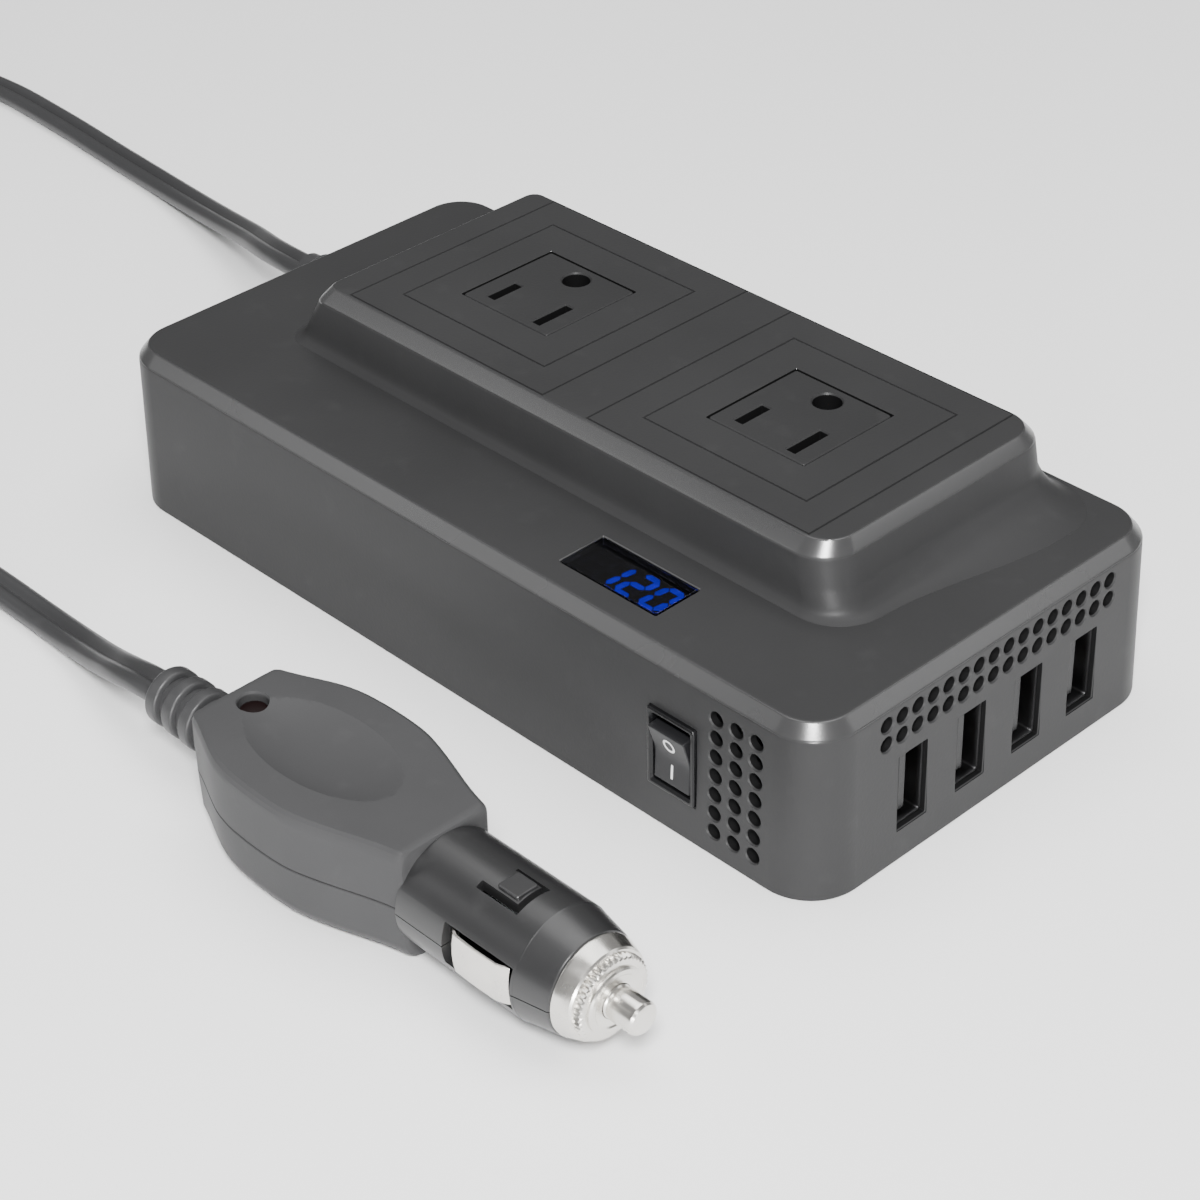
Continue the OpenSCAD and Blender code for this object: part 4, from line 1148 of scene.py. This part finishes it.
tip = plug_turned("centre_tip", [
    (76.2, 5.2), (78.2, 5.2), (78.2, 2.9), (88.9, 2.9), (89.1, 2.7), (89.5, 2.7), (89.7, 2.88),
    (93.6, 2.9), (94.1, 2.8), (94.5, 2.5), (94.75, 2.0), (94.8, 1.2), (94.7, 0.5)], 48)
finish_mesh(tip, "tip", NICKEL, 25)
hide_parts("plug_tip")

LEAF = [
    (58.0, 6.45), (61.4, 6.45), (62.0, 6.75), (64.1, 9.85), (64.8, 10.15), (69, 10.35), (73.4, 10.25),
    (74.4, 9.95), (75.6, 9.4), (75.9, 9.75), (74.7, 10.35), (73.6, 10.7), (69, 10.82), (64.5, 10.62),
    (63.7, 10.2), (61.6, 7.2), (61.1, 6.95), (58.0, 6.95),
]
for name, side, body, node in (
    ("front_leaf", -1, "front_contact", "plug_front_contact"),
    ("rear_leaf", 1, "rear_contact", "plug_rear_contact"),
):
    rings = []
    for z in (-3.6, -2.4, -1.2, 0, 1.2, 2.4, 3.6):
        curve = 0.035 * z * z
        rings.append([
            plug_point(x, side * (y - (curve if y > 8 else 0)), z - LEAF_SHIFT * side) for x, y in LEAF])
    leaf = bevelled(loft(name, rings), 0.09, 2, 60)
    finish_mesh(leaf, body, NICKEL)
    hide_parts(node)


# -------- Strain reliefs
# Ribbed boots of the same soft PVC as the lead, one in the case wall and one in the grip.

BOOT_RUBBER = plastic(
    "boot_rubber", (0.034, 0.034, 0.035), 0.4, grain=2000.0, depth=0.1, wear=0.2, specular=0.35)


def ribs(start, count, pitch, groove, outer_r, inner_r, taper=0.0):
    """Profile of rounded ribs with grooves between them."""
    points = []
    for n in range(count):
        x = start + n * pitch
        high = outer_r + taper * n
        low = inner_r + taper * n
        end = x + pitch - groove
        shoulder = [(0, low), (0.06, high - 0.5), (0.25, high - 0.16), (0.55, high)]
        points += [(x + d, r) for d, r in shoulder]
        points += [(end - d, r) for d, r in reversed(shoulder)]
    return points


boot = plug_turned("plug_boot", [(-19.5, 2.0), (-19.45, 3.9)] + ribs(-19.2, 4, 4.6, 1.8, 5.3, 4.2, 0.12)
                   + [(-1.0, 4.5), (0.4, 4.6), (0.4, 2.0)], 64)
finish_mesh(boot, "inverter", BOOT_RUBBER, 40)
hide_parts("plug_relief")

# A flange on each side of the case wall, then the ribs
case_boot = turned("case_boot", [
    (-86.2, 1.0), (-86.2, 7.0), (-86.5, 7.0), (-86.5, 5.0), (-88.9, 5.0), (-88.9, 6.6), (-90.6, 6.6),
    (-91.0, 6.3), (-91.3, 5.0)]
    + [(-91.3 - x, r) for x, r in ribs(0, 4, 4.3, 1.1, 5.9, 4.9, -0.3)]
    + [(-109.4, 3.9), (-111.0, 3.8), (-111.05, 1.5)], 64, "x", RELIEF_AT)
finish_mesh(case_boot, "inverter", BOOT_RUBBER, 40)
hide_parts("cord_relief")


# -------- Underside
# Flat base plate of the same plastic as the case, held by four zinc-plated cross-head screws.

BASE_GREY = plastic("base_plastic", (0.015, 0.015, 0.016), 0.5, depth=0.14, wear=0.5)
SCREW_STEEL = metal("screw_steel", (0.5, 0.5, 0.52), 0.32, 0.3, 0.6)


def softened(name, node, width):
    """Copy of a CAD node's own shape with its edges rounded."""
    bm = bmesh.new()
    bm.from_mesh(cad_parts[node].data)
    bmesh.ops.remove_doubles(bm, verts=bm.verts, dist=1e-6)
    bmesh.ops.dissolve_limit(bm, angle_limit=math.radians(1), verts=bm.verts, edges=bm.edges)
    mesh = bpy.data.meshes.new(name)
    bm.to_mesh(mesh)
    bm.free()
    return bevelled(linked(name, mesh), width, 2, 35)


plate = softened("bottom_plate", "base_plate", 0.15)
finish_mesh(plate, "inverter", BASE_GREY)
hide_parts("base_plate")
paint_node("case_screws", SCREW_STEEL)
paint_node("plug_screw", SCREW_STEEL)


# -------- Inside pieces
# Boards, transformer, transistors, fan and wiring, seen only through the vents: each CAD node
# keeps its own shape and takes the finish of the real piece.

BOARD_GREEN = plastic("board_green", (0.01, 0.07, 0.03), 0.3, grain=500.0, depth=0.05)
FAN_BLACK = plastic("fan_plastic", (0.012, 0.012, 0.013), 0.4, depth=0.05)
for node in ("main_board", "usb_board", "display_board"):
    paint_node(node, BOARD_GREEN)
for node in ("fan_frame", "fan_rotor"):
    paint_node(node, FAN_BLACK)
HEAT_SINK = metal("heat_sink", (0.66, 0.67, 0.68), 0.35)
EPOXY = plastic("transistor_epoxy", (0.012, 0.012, 0.012), 0.5)
INSIDE = {
    "contact_carrier": plastic("carrier_plastic", (0.6, 0.58, 0.5), 0.5),
    "transformer_core": plastic("ferrite", (0.04, 0.04, 0.042), 0.4, grain=900.0, depth=0.2),
    "transformer_coil": plastic("coil_tape", (0.6, 0.42, 0.04), 0.3, grain=400.0, depth=0.1),
    "filter_choke": metal("enamelled_copper", (0.6, 0.25, 0.1), 0.3),
    "board_capacitors": plastic("capacitor_sleeve", (0.01, 0.02, 0.08), 0.25, grain=700.0, depth=0.05),
    "input_heat_sink": HEAT_SINK,
    "output_heat_sink": HEAT_SINK,
    "input_transistors": EPOXY,
    "output_transistors": EPOXY,
    "positive_wire": plastic("red_insulation", (0.35, 0.01, 0.01), 0.35),
    "negative_wire": plastic("black_insulation", (0.01, 0.01, 0.01), 0.35),
    "plug_lamp": plastic("lamp_red", (0.3, 0.01, 0.01), 0.2),
    "plug_fuse_glass": plastic("fuse_tube", (0.5, 0.55, 0.55), 0.1),
    "plug_fuse_caps": NICKEL,
    "plug_spring": metal("spring_steel", (0.5, 0.5, 0.52), 0.3),
}
for node, mat in INSIDE.items():
    paint_node(node, mat)
